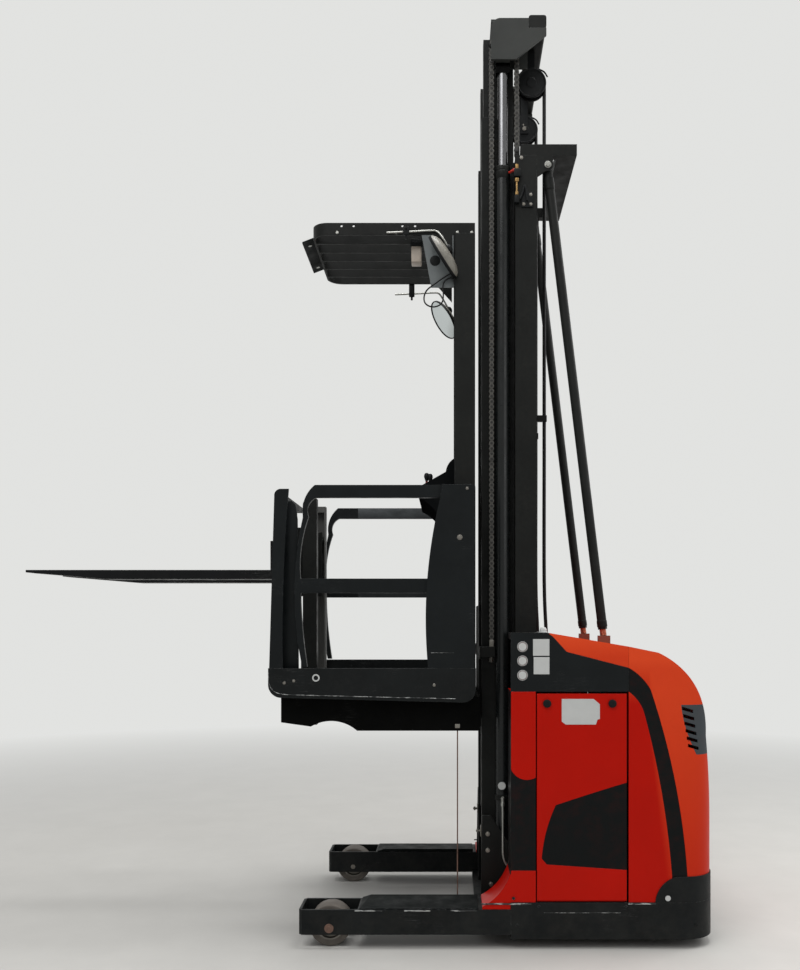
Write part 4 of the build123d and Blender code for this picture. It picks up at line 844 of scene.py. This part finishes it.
wire_half("lower_wire", (WIRE_LOW, WIRE_MIDDLE), ("chassis", "mast_inner"), WIRE_LOW + 0.018)
wire_half("upper_wire", (WIRE_MIDDLE, WIRE_TOP), ("mast_inner", "cab"), WIRE_MIDDLE)
wire_end, wire_top = forms("wire_end", "wire_top")
wire_end.box(around(WIRE_X, 0.014), WIRE_BRACKET_Y, WIRE_BRACKET_Z)
wire_end.upright(WIRE_X, WIRE_Y, (WIRE_BRACKET_Z[0], WIRE_LOW + 0.018), 0.0055, 14)
wire_end.upright(WIRE_X, WIRE_Y, (WIRE_BRACKET_Z[1], WIRE_LOW), 0.010, 6)
wire_end.done("bare_steel", "chassis")
wire_top.box(around(WIRE_X, 0.012), around(WIRE_Y, 0.012), (WIRE_TOP, WIRE_TOP + 0.02))
wire_top.done("bare_steel", "cab")

# Body: latches, lamp, blank signs and plates
LATCHES_X, LATCH_Z = (0.877, 1.175), 1.120
LATCH = [(0.012, -0.001), (0.012, 0.003), (0.0175, 0.004), (0.019, 0.0065), (0.0185, 0.0095),
         (0.014, 0.0115), (0.006, 0.0105), (0, 0.0103)]
PLATE_X, PLATE_Z, FOLD = (0.944, 1.118), (1.024, 1.141), 0.018
SIGN_X, SIGNS_Z = 0.765, (1.379, 1.315, 1.249)
SIGN_PLATES = (((0.813, 0.888), (1.338, 1.414)), ((0.816, 0.888), (1.2535, 1.332)))
LAMP_X, LAMP_Y = 0.864, -0.600
PANEL_BOLTS = ((0.724, 0.232), (0.840, 0.196), (1.236, 0.196), (1.560, 0.110), (0.740, 0.110))

for name, sign in SIDES.items():
    latch = Form(f"door_latches_{name}")
    for x in LATCHES_X:
        latch.lathe((x, sign * door_face, LATCH_Z), (0, sign, 0), LATCH, 36)
    latch.done("black_plastic", f"battery_door_{name}")

door_plate = Form("door_plate_left")
door_plate.plate([(PLATE_X[0], PLATE_Z[1]), (PLATE_X[0], PLATE_Z[0] + 0.014), (PLATE_X[0] + FOLD, PLATE_Z[0]),
                  (PLATE_X[1] - FOLD, PLATE_Z[0]), (PLATE_X[1] - FOLD * 0.6, PLATE_Z[0] + 0.022),
                  (PLATE_X[1], PLATE_Z[0] + 0.026), (PLATE_X[1], PLATE_Z[1] - 0.024),
                  (PLATE_X[1] - FOLD * 1.6, PLATE_Z[1])], (-door_face - 0.0008, -door_face + 0.001))
door_plate.done("black_plastic", "battery_door_left", material="label_white")

signs, rings = forms("blank_signs_left", "blank_sign_rings_left")
for z in SIGNS_Z:
    place = (SIGN_X, -band_face, z)
    signs.lathe(place, (0, -1, 0), [(0, 0.0008), (0.0235, 0.0008), (0.0245, -0.001)], 40)
    rings.lathe(place, (0, -1, 0),
                [(0.0185, 0.0007), (0.0187, 0.0011), (0.0215, 0.0011), (0.0217, 0.0007)], 40)
for x, z in SIGN_PLATES:
    signs.box(x, (-band_face - 0.0008, -band_face + 0.001), z, 0)
signs.done("black_plastic", "chassis", material="label_white")
rings.done("black_plastic", "chassis", material="sign_ring")

lamp = Form("deck_lamp")
lamp.lathe((LAMP_X, LAMP_Y, deck_top), (0, 0, 1),
           [(0.020, -0.002), (0.020, 0.004), (0.016, 0.005), (0.0155, 0.016), (0.011, 0.024), (0, 0.027)])
lamp.done("black_plastic", "chassis", material="label_white")

small_plates = Form("small_blank_plates")
small_plates.lathe((1.428, -skirt_face, 0.232), (0, -1, 0),
                   [(0, 0.0006), (0.0125, 0.0006), (0.013, -0.001)], 28)
small_plates.lathe((0.684, -0.3995, 0.702), (0, -1, 0),
                   [(0, 0.0006), (0.0185, 0.0006), (0.019, -0.0015)], 28)
small_plates.done("black_frame", "chassis", material="label_white")

panel_bolts = Form("panel_bolts")
panel_bolts.side_bolts(PANEL_BOLTS, skirt_face, 0.0055, 0.0018)
panel_bolts.done("black_frame", "chassis")

# Mast: cylinder glands, return pipes, bleed fittings, rail adjusters and bolts
BARREL_X, BARREL_Y, BARREL_RING_Z = 0.690, 0.353, 0.640
GLAND = [(0.0262, 0.001), (0.033, 0.001), (0.0362, -0.003), (0.0362, -0.018), (0.0345, -0.020),
         (0.0345, -0.024), (0.0362, -0.026), (0.0362, -0.055), (0.0335, -0.060), (0.0331, -0.060)]
BARREL_RING = [(0.0331, 0.014), (0.038, 0.012), (0.038, -0.012), (0.0331, -0.014)]
PIPE_X, PIPE_Y = 0.689, 0.400
PIPE_PATH = ((0.689, 0.612), (0.689, 0.56), (0.689, 0.44), (0.690, 0.372), (0.699, 0.336), (0.7115, 0.318))
CAP_Z, FITTING_X = 3.668, 0.756
FITTING_RODS = (((3.672, 3.694), 0.0085, 6), ((3.612, 3.628), 0.0105, 6), ((3.520, 3.612), 0.0048, 12),
                ((3.548, 3.562), 0.0085, 6))
VALVE_BLOCKS = (((FITTING_X - 0.014, FITTING_X + 0.018), 0.025, (3.634, 3.672), 0.003),
                ((FITTING_X - 0.012, FITTING_X + 0.012), 0.022, (3.508, 3.546), 0.003),
                ((0.778, 0.836), 0.006, (3.492, 3.566), 0.002))
VALVE_PIPE = ((0.770, 3.527), (0.784, 3.560), (0.792, 3.592), (0.800, 3.575), (0.806, 3.520))
ADJUSTER_Y, ADJUSTER_Z = 0.285, 0.462
column_face = column_high.y - 0.010
glands, pipes, fittings, caps = forms("cylinder_glands", "return_pipes", "brass_fittings", "red_caps")
valves, pads, mast_bolts = forms("valve_blocks", "rail_pads", "mast_bolts")
for sign in SIGNS:
    glands.lathe((BARREL_X, sign * BARREL_Y, barrel_top), (0, 0, 1), GLAND, 40)
    glands.lathe((BARREL_X, sign * BARREL_Y, BARREL_RING_Z), (0, 0, 1), BARREL_RING, 40)
    y = sign * PIPE_Y
    pipes.tube([(x, y, z) for x, z in PIPE_PATH], 0.0062, 14, 6)
    pipes.upright(PIPE_X, y, (0.604, 0.622), 0.011, 6)
    pipes.rod((PIPE_X, sign * 0.384, BARREL_RING_Z), (PIPE_X, y, BARREL_RING_Z), 0.010, 12)
    pipes.upright(PIPE_X, y, (0.616, 0.648), 0.0085, 14)
    y = sign * (column_face + 0.012)
    caps.rod((BARREL_X + 0.030, sign * 0.372, CAP_Z), (BARREL_X + 0.052, y, CAP_Z), 0.0062, 14)
    caps.rod((BARREL_X + 0.048, y, CAP_Z), (BARREL_X + 0.056, y, CAP_Z), 0.0095, 6)
    for z, radius, sides in FITTING_RODS:
        fittings.upright(FITTING_X, y, z, radius, sides)
    for x, height, z, bevel in VALVE_BLOCKS:
        valves.box(x, across(sign, column_face - 0.001, column_face + height), z, bevel)
    valves.tube([(x, y, z) for x, z in VALVE_PIPE], 0.0052, 12, 6)
    pads.box((0.716, 0.741), across(sign, 0.262, 0.3085), (3.9405, 3.9675), 0.002)
    y = sign * ADJUSTER_Y
    mast_bolts.box((0.5835, 0.5905), around(y, 0.017), (0.436, 0.488))
    mast_bolts.rod((0.562, y, ADJUSTER_Z), (0.590, y, ADJUSTER_Z), 0.0055, 12)
    mast_bolts.rod((0.566, y, ADJUSTER_Z), (0.575, y, ADJUSTER_Z), 0.0105, 6)
mast_bolts.side_bolts(((0.790, 3.506), (0.824, 3.506), (0.824, 3.552)), column_face + 0.006, 0.006, 0.005)
mast_bolts.side_bolts([(0.779, 3.733)], column_face, 0.0065, 0.005)
mast_bolts.side_bolts(((0.632, 0.228), (0.672, 0.228), (0.816, 0.228), (0.616, 0.470), (0.616, 0.392)),
                      column_face + 0.010, 0.0085, 0.006)
glands.done("mast_paint", "chassis")
pipes.done("bare_steel", "chassis", material="zinc")
fittings.done("bare_steel", "chassis", material="brass")
caps.done("bare_steel", "chassis", material="red_cap")
valves.done("black_plastic", "chassis")
pads.done("bare_steel", "chassis", material="tan_pad")
mast_bolts.done("bare_steel", "chassis")

# Struts: clevis with a bright pin at the head frame, threaded copper-coloured spindle at the foot
STRUT_TOP, STRUT_FOOT = Vector((0.907, 0.350, 3.700)), Vector((1.1806, 0.350, 1.4255))
THREADS, THREAD_STEP, THREAD_ROOT, THREAD_CREST = 8, 0.0042, 0.0152, 0.0170
strut_way = (STRUT_TOP - STRUT_FOOT).normalized()


def strut_rod(form, place, start, end, radius, sides=32, end_radius=None):
    """A rod along the strut, between two distances from a place on it."""
    form.rod(place + strut_way * start, place + strut_way * end, radius, sides, end_radius)


clevises, pins, threads, nuts = forms("strut_clevises", "strut_pins", "strut_threads", "strut_nuts")
for sign in SIGNS:
    side_way = Vector((0, sign, 0))
    top_place, foot = (Vector((place.x, sign * place.y, place.z)) for place in (STRUT_TOP, STRUT_FOOT))
    strut_rod(clevises, top_place, -0.105, -0.052, 0.0262)
    strut_rod(clevises, top_place, -0.112, -0.105, 0.0238, 32, 0.0262)
    for start, end, radius, sides in ((0.036, 0.0475, 0.0125, 6), (0.030, 0.040, 0.0165, 24)):
        pins.rod(top_place + side_way * start, top_place + side_way * end, radius, sides)
    for k in range(THREADS):
        start = THREAD_STEP * k
        middle = start + THREAD_STEP / 2
        strut_rod(threads, foot, start, middle, THREAD_ROOT, 20, THREAD_CREST)
        strut_rod(threads, foot, middle, start + THREAD_STEP, THREAD_CREST, 20, THREAD_ROOT)
    strut_rod(nuts, foot, 0.031, 0.044, 0.0225, 6)
    strut_rod(nuts, foot, 0.043, 0.070, 0.0248)
    strut_rod(nuts, foot, 0.070, 0.076, 0.0248, 32, 0.0232)
clevises.done("mast_paint", "chassis")
pins.done("bare_steel", "chassis", material="zinc")
threads.done("bare_steel", "chassis", material="copper_thread")
nuts.done("mast_paint", "chassis")

# Inner mast: faces of the hose sheaves, hose keepers and sheave bolts
SHEAVE_FACE = 0.0205
DISC = [(0, 0.0045), (0.022, 0.0045), (0.026, 0.0015), (0.064, 0.0005), (0.068, 0.0035), (0.0735, 0.003),
        (0.0745, 0.0), (0.0735, -0.001)]
KEEPER = ((0.040, 0.078), (0.066, 0.064), (0.082, 0.040))
discs, keepers, sheave_bolts = forms("hose_sheave_discs", "hose_keepers", "sheave_bolts")
for sign in SIGNS:
    for way in (sign, -sign):
        discs.lathe((hose_sheave_x, sign * hose_y + way * SHEAVE_FACE, hose_sheave_z), (0, way, 0), DISC, 64)
    keepers.tube([(hose_sheave_x + x, sign * hose_y, hose_sheave_z + z) for x, z in KEEPER], 0.004, 10, 5)
    for x, z, radius, height in ((0, 0, 0.0115, 0.008), (-0.004, 0.022, 0.004, 0.004)):
        place = (hose_sheave_x + x, sign * (hose_y - SHEAVE_FACE - 0.0045), hose_sheave_z + z)
        sheave_bolts.bolt(place, (0, -sign, 0), radius, height)
discs.done("black_plastic", "mast_inner")
keepers.done("black_plastic", "mast_inner")
sheave_bolts.done("bare_steel", "mast_inner")

# Overhead guard: its own solid with the round holes of its side rails cut through
GUARD_HOLES_X, GUARD_HOLE_RADIUS = (-0.094, -0.035, 0.203, 0.264), 0.0062
guard_side = guard_high.y
guard_hole_z = guard_high.z - 0.0145
guard_rail_low = guard_high.z - 0.059


def drilled(node, name, cutter_form, material):
    """A copy of one solid on the cab with a form cut out of it, standing for that node."""
    cutter = bpy.data.objects.new(cutter_form.name, cutter_form.mesh())
    blank = bpy.data.objects.new(f"{name}_blank", nodes[node].data.copy())
    for obj in (cutter, blank):
        scene.collection.objects.link(obj)
    cut = blank.modifiers.new("holes", "BOOLEAN")
    cut.operation = "DIFFERENCE"
    cut.solver = "EXACT"
    cut.object = cutter
    evaluated = blank.evaluated_get(bpy.context.evaluated_depsgraph_get())
    mesh = bpy.data.meshes.new_from_object(evaluated)
    for obj in (cutter, blank):
        bpy.data.objects.remove(obj)
    mesh.name = name
    add_piece(name, mesh, material, "cab", replaces=(node,), angle=30)


holes = Form("drilled_guard_cutter")
for sign in SIGNS:
    for x in GUARD_HOLES_X:
        holes.rod((x, sign * (guard_side + 0.01), guard_hole_z),
                  (x, sign * (guard_side - 0.03), guard_hole_z), GUARD_HOLE_RADIUS, 16)
drilled("overhead_guard", "drilled_guard", holes, "mast_paint")

bar_bolts = Form("guard_bar_bolts")
bar_bolts.side_bolts([(x, guard_rail_low + 0.011) for x in (-0.115, 0.173)], guard_side, 0.0058, 0.004)
bar_bolts.side_bolts([(x, guard_rail_low + 0.012) for x in (0.47, 0.54)], guard_side, 0.006, 0.003)
for sign in SIGNS:
    bar_bolts.bolt((-0.275, sign * 0.150, 3.398), (-0.3, 0, 1), 0.0075, 0.005)
bar_bolts.done("bare_steel", "cab", material="zinc")

# Mirrors: steel arm, clamps and ball joint, oval shell with glass on its inner face.
# The points of the arm are (x, distance out from the guard's side, z).
ARM_PATH = ((0.127, 0.0073, 3.383), (0.25, 0.0073, 3.388), (0.335, 0.0073, 3.3925), (0.372, 0.0073, 3.388),
            (0.400, 0.0193, 3.352), (0.424, 0.0193, 3.310))
CLAMP_X = 0.2205
JOINT = [(0, 0.022), (0.010, 0.019), (0.0165, 0.010), (0.018, 0.0), (0.0165, -0.010), (0.010, -0.017),
         (0, -0.019)]
MIRROR_PLACE = (0.400, 0.392, 3.252)
MIRROR_LEAN = {-1: 0.26, 1: 0.62}
MIRROR_DROP = {-1: 0.0, 1: 0.062}
MIRROR_LENGTH, MIRROR_WIDTH = 0.232, 0.135
SHELL = [(0.985, 0.004), (1.0, -0.003), (0.965, -0.012), (0.86, -0.023), (0.66, -0.033), (0.38, -0.0385),
         (0, -0.040)]
RIM = [(0.955, 0.004), (0.965, 0.0085), (0.99, 0.009), (1.012, 0.004), (1.012, -0.004), (0.99, -0.006)]
GLASS = [(0.957, 0.0045), (0.80, 0.0070), (0.5, 0.0095), (0, 0.011)]


def oval(form, place, long_way, normal, profile):
    """An oval dish from (share of the full size, height along the normal) pairs."""
    long_half = long_way * (MIRROR_LENGTH / 2)
    wide_half = normal.cross(long_way) * (MIRROR_WIDTH / 2)
    form.skin([form.ring(place + normal * height, long_half * share, wide_half * share, 56)
               for share, height in profile])


arms, clamps, shells, rims, glasses = forms(
    "mirror_arms", "mirror_clamps", "mirror_shells", "mirror_rims", "mirror_glasses")
for sign in SIGNS:
    drop = MIRROR_DROP[sign]
    arms.tube([(x, sign * (guard_side + out), z - drop) for x, out, z in ARM_PATH], 0.0048, 14, 6)
    clamps.box(around(CLAMP_X, 0.0155), across(sign, guard_side - 0.001, guard_side + 0.017),
               (3.370 - drop, 3.412), 0.004)
    clamps.rod((CLAMP_X, sign * (guard_side + 0.017), 3.403),
               (CLAMP_X, sign * (guard_side + 0.023), 3.403), 0.0068, 6)
    clamps.upright(CLAMP_X, sign * (guard_side + 0.0075), (3.352 - drop, 3.371 - drop), 0.0058, 12)
    clamps.lathe((0.428, sign * (guard_side + 0.0213), 3.300 - drop), (0.5, 0, -0.85), JOINT, 24)
    long_way = Vector((0.52, 0, -0.85)).normalized()
    normal = Vector((-0.82, -sign * MIRROR_LEAN[sign], -0.50)).normalized()
    normal = (normal - long_way * normal.dot(long_way)).normalized()
    place = Vector((MIRROR_PLACE[0], sign * MIRROR_PLACE[1], MIRROR_PLACE[2] - drop))
    for form, profile in ((shells, SHELL), (rims, RIM), (glasses, GLASS)):
        oval(form, place, long_way, normal, profile)
arms.done("bare_steel", "cab", replaces=("mirrors",), material="zinc")
clamps.done("black_plastic", "cab")
shells.done("black_plastic", "cab", material="mirror_shell")
rims.done("black_plastic", "cab")
glasses.done("bare_steel", "cab", material="mirror_glass")

# Loose loop of the mirror cable, out of the left post's rear face and back into it, through two glands.
# Its points are (x, distance out from the guard's side, z).
CABLE_LOOP = ((0.449, 0.0120, 3.188), (0.418, 0.0120, 3.174), (0.362, 0.0135, 3.133), (0.312, 0.0145, 3.097),
              (0.305, 0.0150, 3.038), (0.350, 0.0150, 3.015), (0.397, 0.0140, 3.033), (0.4035, 0.013, 3.080),
              (0.397, 0.0120, 3.128), (0.418, 0.0120, 3.160), (0.449, 0.0120, 3.164))
CABLE_RADIUS = 0.0036
CABLE_GLAND = [(0.0085, -0.003), (0.0085, 0.005), (0.0062, 0.009), (0.0037, 0.014), (0, 0.014)]
cable_points = [(x, -(guard_side + out), z) for x, out, z in CABLE_LOOP]
line = bpy.data.curves.new("mirror_cable", "CURVE")
line.dimensions = "3D"
line.bevel_depth = CABLE_RADIUS
line.bevel_resolution = 3
line.resolution_u = 8
line.use_fill_caps = True
spline = line.splines.new("NURBS")
spline.points.add(len(cable_points) - 1)
for point, place in zip(spline.points, cable_points):
    point.co = (*place, 1)
spline.order_u = 3
spline.use_endpoint_u = True
line.materials.append(materials["hose_rubber"])
cable = bpy.data.objects.new("mirror_cable", line)
scene.collection.objects.link(cable)
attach(cable, "cab")
cable_glands = Form("mirror_cable_glands")
for place in (cable_points[0], cable_points[-1]):
    cable_glands.lathe(place, (-1, 0, 0), CABLE_GLAND, 16)
cable_glands.done("black_plastic", "cab")

# Flat side mirror below the left guard rail, and the cabin lamp
side_mirror, side_glass, boss = forms("flat_side_mirror", "flat_mirror_glass", "flat_mirror_boss")
upper_z = guard_rail_low + 0.002
side_mirror.plate([(0.296, upper_z), (0.452, upper_z), (0.452, 3.119), (0.343, 3.119)],
                  (-guard_side + 0.001, -guard_side + 0.004))
upper_z = guard_rail_low - 0.006
side_glass.plate([(0.304, upper_z), (0.444, upper_z), (0.444, 3.127), (0.349, 3.127)],
                 (-guard_side + 0.0038, -guard_side + 0.0045))
boss.lathe((0.362, -guard_side + 0.001, 3.250), (0, -1, 0),
           [(0.026, -0.0005), (0.024, 0.002), (0.014, 0.004), (0, 0.0045)], 28)
side_mirror.done("grey_plate", "cab", material="grey_paint")
side_glass.done("bare_steel", "cab", material="mirror_glass")
boss.done("black_plastic", "cab")

cab_lamp, lamp_base = forms("cabin_lamp", "cabin_lamp_base")
cab_lamp.box((0.243, 0.293), (-0.285, -0.215), (3.268, 3.348), 0.006)
lamp_base.box((0.238, 0.298), (-0.290, -0.210), (3.345, 3.380), 0.003)
for x in (0.250, 0.268, 0.286):
    lamp_base.rod((x, -0.292, 3.362), (x, -0.286, 3.362), 0.005, 12)
cab_lamp.done("black_plastic", "cab", material="lamp_cream")
lamp_base.done("black_plastic", "cab")

# Console: twin grip with a red collar, and a small red button under its knob
CONTROLS_Y = -0.16
GRIP = [(0, 0.020), (0.008, 0.018), (0.0125, 0.010), (0.0135, 0.0), (0.010, -0.012), (0.006, -0.022),
        (0.006, -0.040)]
COLLAR = [(0.022, 0.0), (0.019, 0.010), (0.010, 0.020), (0, 0.022)]
BUTTON = [(0.012, 0.0), (0.012, 0.010), (0.009, 0.014), (0, 0.015)]
BUTTON_KNOB = [(0.008, 0.0), (0.0085, 0.008), (0, 0.012)]
knobs, red_parts = forms("console_knobs", "console_red_parts")
for form, x, z, profile in ((knobs, 0.316, 2.226, GRIP), (knobs, 0.334, 2.222, GRIP),
                            (red_parts, 0.325, 2.180, COLLAR), (red_parts, 0.392, 2.214, BUTTON)):
    form.lathe((x, CONTROLS_Y, z), (0, 0, 1), profile, 24)
knobs.lathe((0.392, CONTROLS_Y, 2.226), (0, 0, 1), BUTTON_KNOB, 20)
knobs.done("black_plastic", "cab")
red_parts.done("black_plastic", "cab", material="red_cap")

# Cab: bolts, worn marks, blank round plate, rubber mat, folded sill edge
MAT_RIBS, RIB_STEP, RIB_WIDTH = 22, 0.0208, 0.007
RIM_CORNER = ((-0.4185, 1.256), (-0.419, 1.236), (-0.418, 1.209), (-0.404, 1.176), (-0.372, 1.156),
              (-0.33, 1.150))
RIM_EDGE = ((-0.33, 1.150), (0.10, 1.139), (0.46, 1.131))
floor_z = platform_low.z + 0.025
cab_bolts, cab_marks, round_plate, mat, sill_rim = forms(
    "cab_bolts", "cab_marks", "blank_round_plate", "floor_mat", "sill_rims")
cab_bolts.side_bolts(((0.515, 2.120), (0.360, 1.195), (-0.345, 1.205), (-0.300, 1.215)),
                     sill_face, 0.0055, 0.003)
cab_bolts.side_bolts([(0.480, 1.890)], 0.5135, 0.010, 0.005)
round_plate.lathe((-0.196, -sill_face, 1.229), (0, -1, 0),
                  [(0.011, 0.0007), (0.0175, 0.0007), (0.018, -0.001)], 28)
mat.box((-0.205, 0.262), (-0.45, 0.45), (floor_z, floor_z + 0.006), 0.002)
for k in range(MAT_RIBS):
    x = -0.195 + RIB_STEP * k
    mat.box((x, x + RIB_WIDTH), (-0.44, 0.44), (floor_z + 0.005, floor_z + 0.0078), 0.0008)
for sign in SIGNS:
    cab_marks.box((0.345, 0.452), across(sign, sill_face - 0.001, sill_face + 0.0003), (1.3465, 1.3482), 0)
    for path in (RIM_CORNER, RIM_EDGE):
        sill_rim.tube([(x, sign * (sill_face + 0.0006), z) for x, z in path], 0.0016, 8, 5)
cab_bolts.done("bare_steel", "cab")
cab_marks.done("black_frame", "cab", material="worn_white")
round_plate.done("black_frame", "cab", material="label_white")
mat.done("hose_rubber", "cab")
sill_rim.done("black_frame", "cab", material="worn_white")

# Inner side shields between the front panels and the gates
SHIELD_OUTLINE = [(-0.378, 1.160), (-0.284, 1.160), (-0.290, 1.98), (-0.300, 2.05), (-0.318, 2.068),
                  (-0.352, 2.068), (-0.362, 2.05)]
shield = Form("inner_side_shields")
for sign in SIGNS:
    shield.plate(SHIELD_OUTLINE, (sign * 0.452, sign * 0.458), 0.002)
shield.done("black_body", "cab")

# Pale floor that runs out into the backdrop, and lights
FLOOR_COLOUR = (0.5, 0.49, 0.465)
FLOOR_SHADE = 0.93
BACKDROP = (0.76, 0.765, 0.75)
AMBIENT, AMBIENT_STRENGTH = (0.82, 0.83, 0.84), 0.5
REACH = 40.0
FLOOR_NEAR, FLOOR_FAR = 2.6, 9.0
LIGHTS = {
    "key": ((-1.6, -4.6, 7.2), (0.4, 0, 1.6), (4.0, 3.0), 195),
    "fill": ((4.5, -5.0, 3.6), (0.6, 0, 1.4), (3.0, 3.0), 62),
    "top": ((0.9, -0.2, 8.0), (0.9, 0, 0), (4.5, 3.0), 430),
    "rear": ((5.5, 1.0, 4.5), (1.2, 0, 1.2), (3.0, 3.0), 125),
}


def seen_rays(tree, *kinds):
    """1 for a ray of any of those kinds."""
    rays = tree.nodes.new("ShaderNodeLightPath")
    seen = rays.outputs[f"Is {kinds[0]} Ray"]
    for kind in kinds[1:]:
        seen = maths(tree, "MAXIMUM", seen, rays.outputs[f"Is {kind} Ray"])
    return seen


def mix_shaders(tree, factor, first, second, output):
    """Blend two shaders into an output node."""
    mixed = tree.nodes.new("ShaderNodeMixShader")
    tree.links.new(factor, mixed.inputs[0])
    tree.links.new(first.outputs[0], mixed.inputs[1])
    tree.links.new(second.outputs[0], mixed.inputs[2])
    tree.links.new(mixed.outputs[0], tree.nodes[output].inputs["Surface"])


def floor_material():
    """Matt floor with slow changes of tone, taking the backdrop's colour far from the truck."""
    material, tree, shader = new_material("floor_tone")
    tone = mix_colour(tree, ramp(tree, noise(tree, 2.6, 8.0, 0.65), 0.3, 0.7),
                      tuple(channel * FLOOR_SHADE for channel in FLOOR_COLOUR), FLOOR_COLOUR)
    tree.links.new(tone, shader.inputs["Base Color"])
    shader.inputs["Roughness"].default_value = 0.7
    glow = tree.nodes.new("ShaderNodeEmission")
    glow.inputs["Color"].default_value = (*BACKDROP, 1.0)
    axes = place_axes(tree)
    square = maths(tree, "ADD", product(tree, axes["X"], axes["X"]), product(tree, axes["Y"], axes["Y"]))
    fade = ramp(tree, maths(tree, "SQRT", square), FLOOR_NEAR, FLOOR_FAR)
    seen = product(tree, fade, seen_rays(tree, "Camera", "Glossy"))
    mix_shaders(tree, seen, shader, glow, "Material Output")
    return material


def area_light(name, place, target, size, power):
    """A lamp that lights the truck but isn't seen through the clear screen."""
    light = bpy.data.lights.new(name, "AREA")
    light.shape = "RECTANGLE"
    light.size, light.size_y = size
    light.energy = power
    obj = bpy.data.objects.new(name, light)
    obj.visible_transmission = False
    obj.location = place
    obj.rotation_euler = (Vector(target) - Vector(place)).to_track_quat("-Z", "Y").to_euler()
    scene.collection.objects.link(obj)


floor_mesh = bpy.data.meshes.new("floor")
floor_mesh.from_pydata([(-REACH, -REACH, 0), (REACH, -REACH, 0), (REACH, REACH, 0), (-REACH, REACH, 0)],
                       [], [(0, 1, 2, 3)])
floor_mesh.materials.append(floor_material())
floor = bpy.data.objects.new("floor", floor_mesh)
scene.collection.objects.link(floor)
for name, choices in LIGHTS.items():
    area_light(name, *choices)

world = bpy.data.worlds.new("world")
scene.world = world
world.use_nodes = True
world_tree = world.node_tree
ambient = world_tree.nodes["Background"]
ambient.inputs["Color"].default_value = (*AMBIENT, 1)
ambient.inputs["Strength"].default_value = AMBIENT_STRENGTH
backdrop = world_tree.nodes.new("ShaderNodeBackground")
backdrop.inputs["Color"].default_value = (*BACKDROP, 1)
backdrop.inputs["Strength"].default_value = 1.0
seen = seen_rays(world_tree, "Camera", "Glossy", "Transmission")
mix_shaders(world_tree, seen, ambient, backdrop, "World Output")
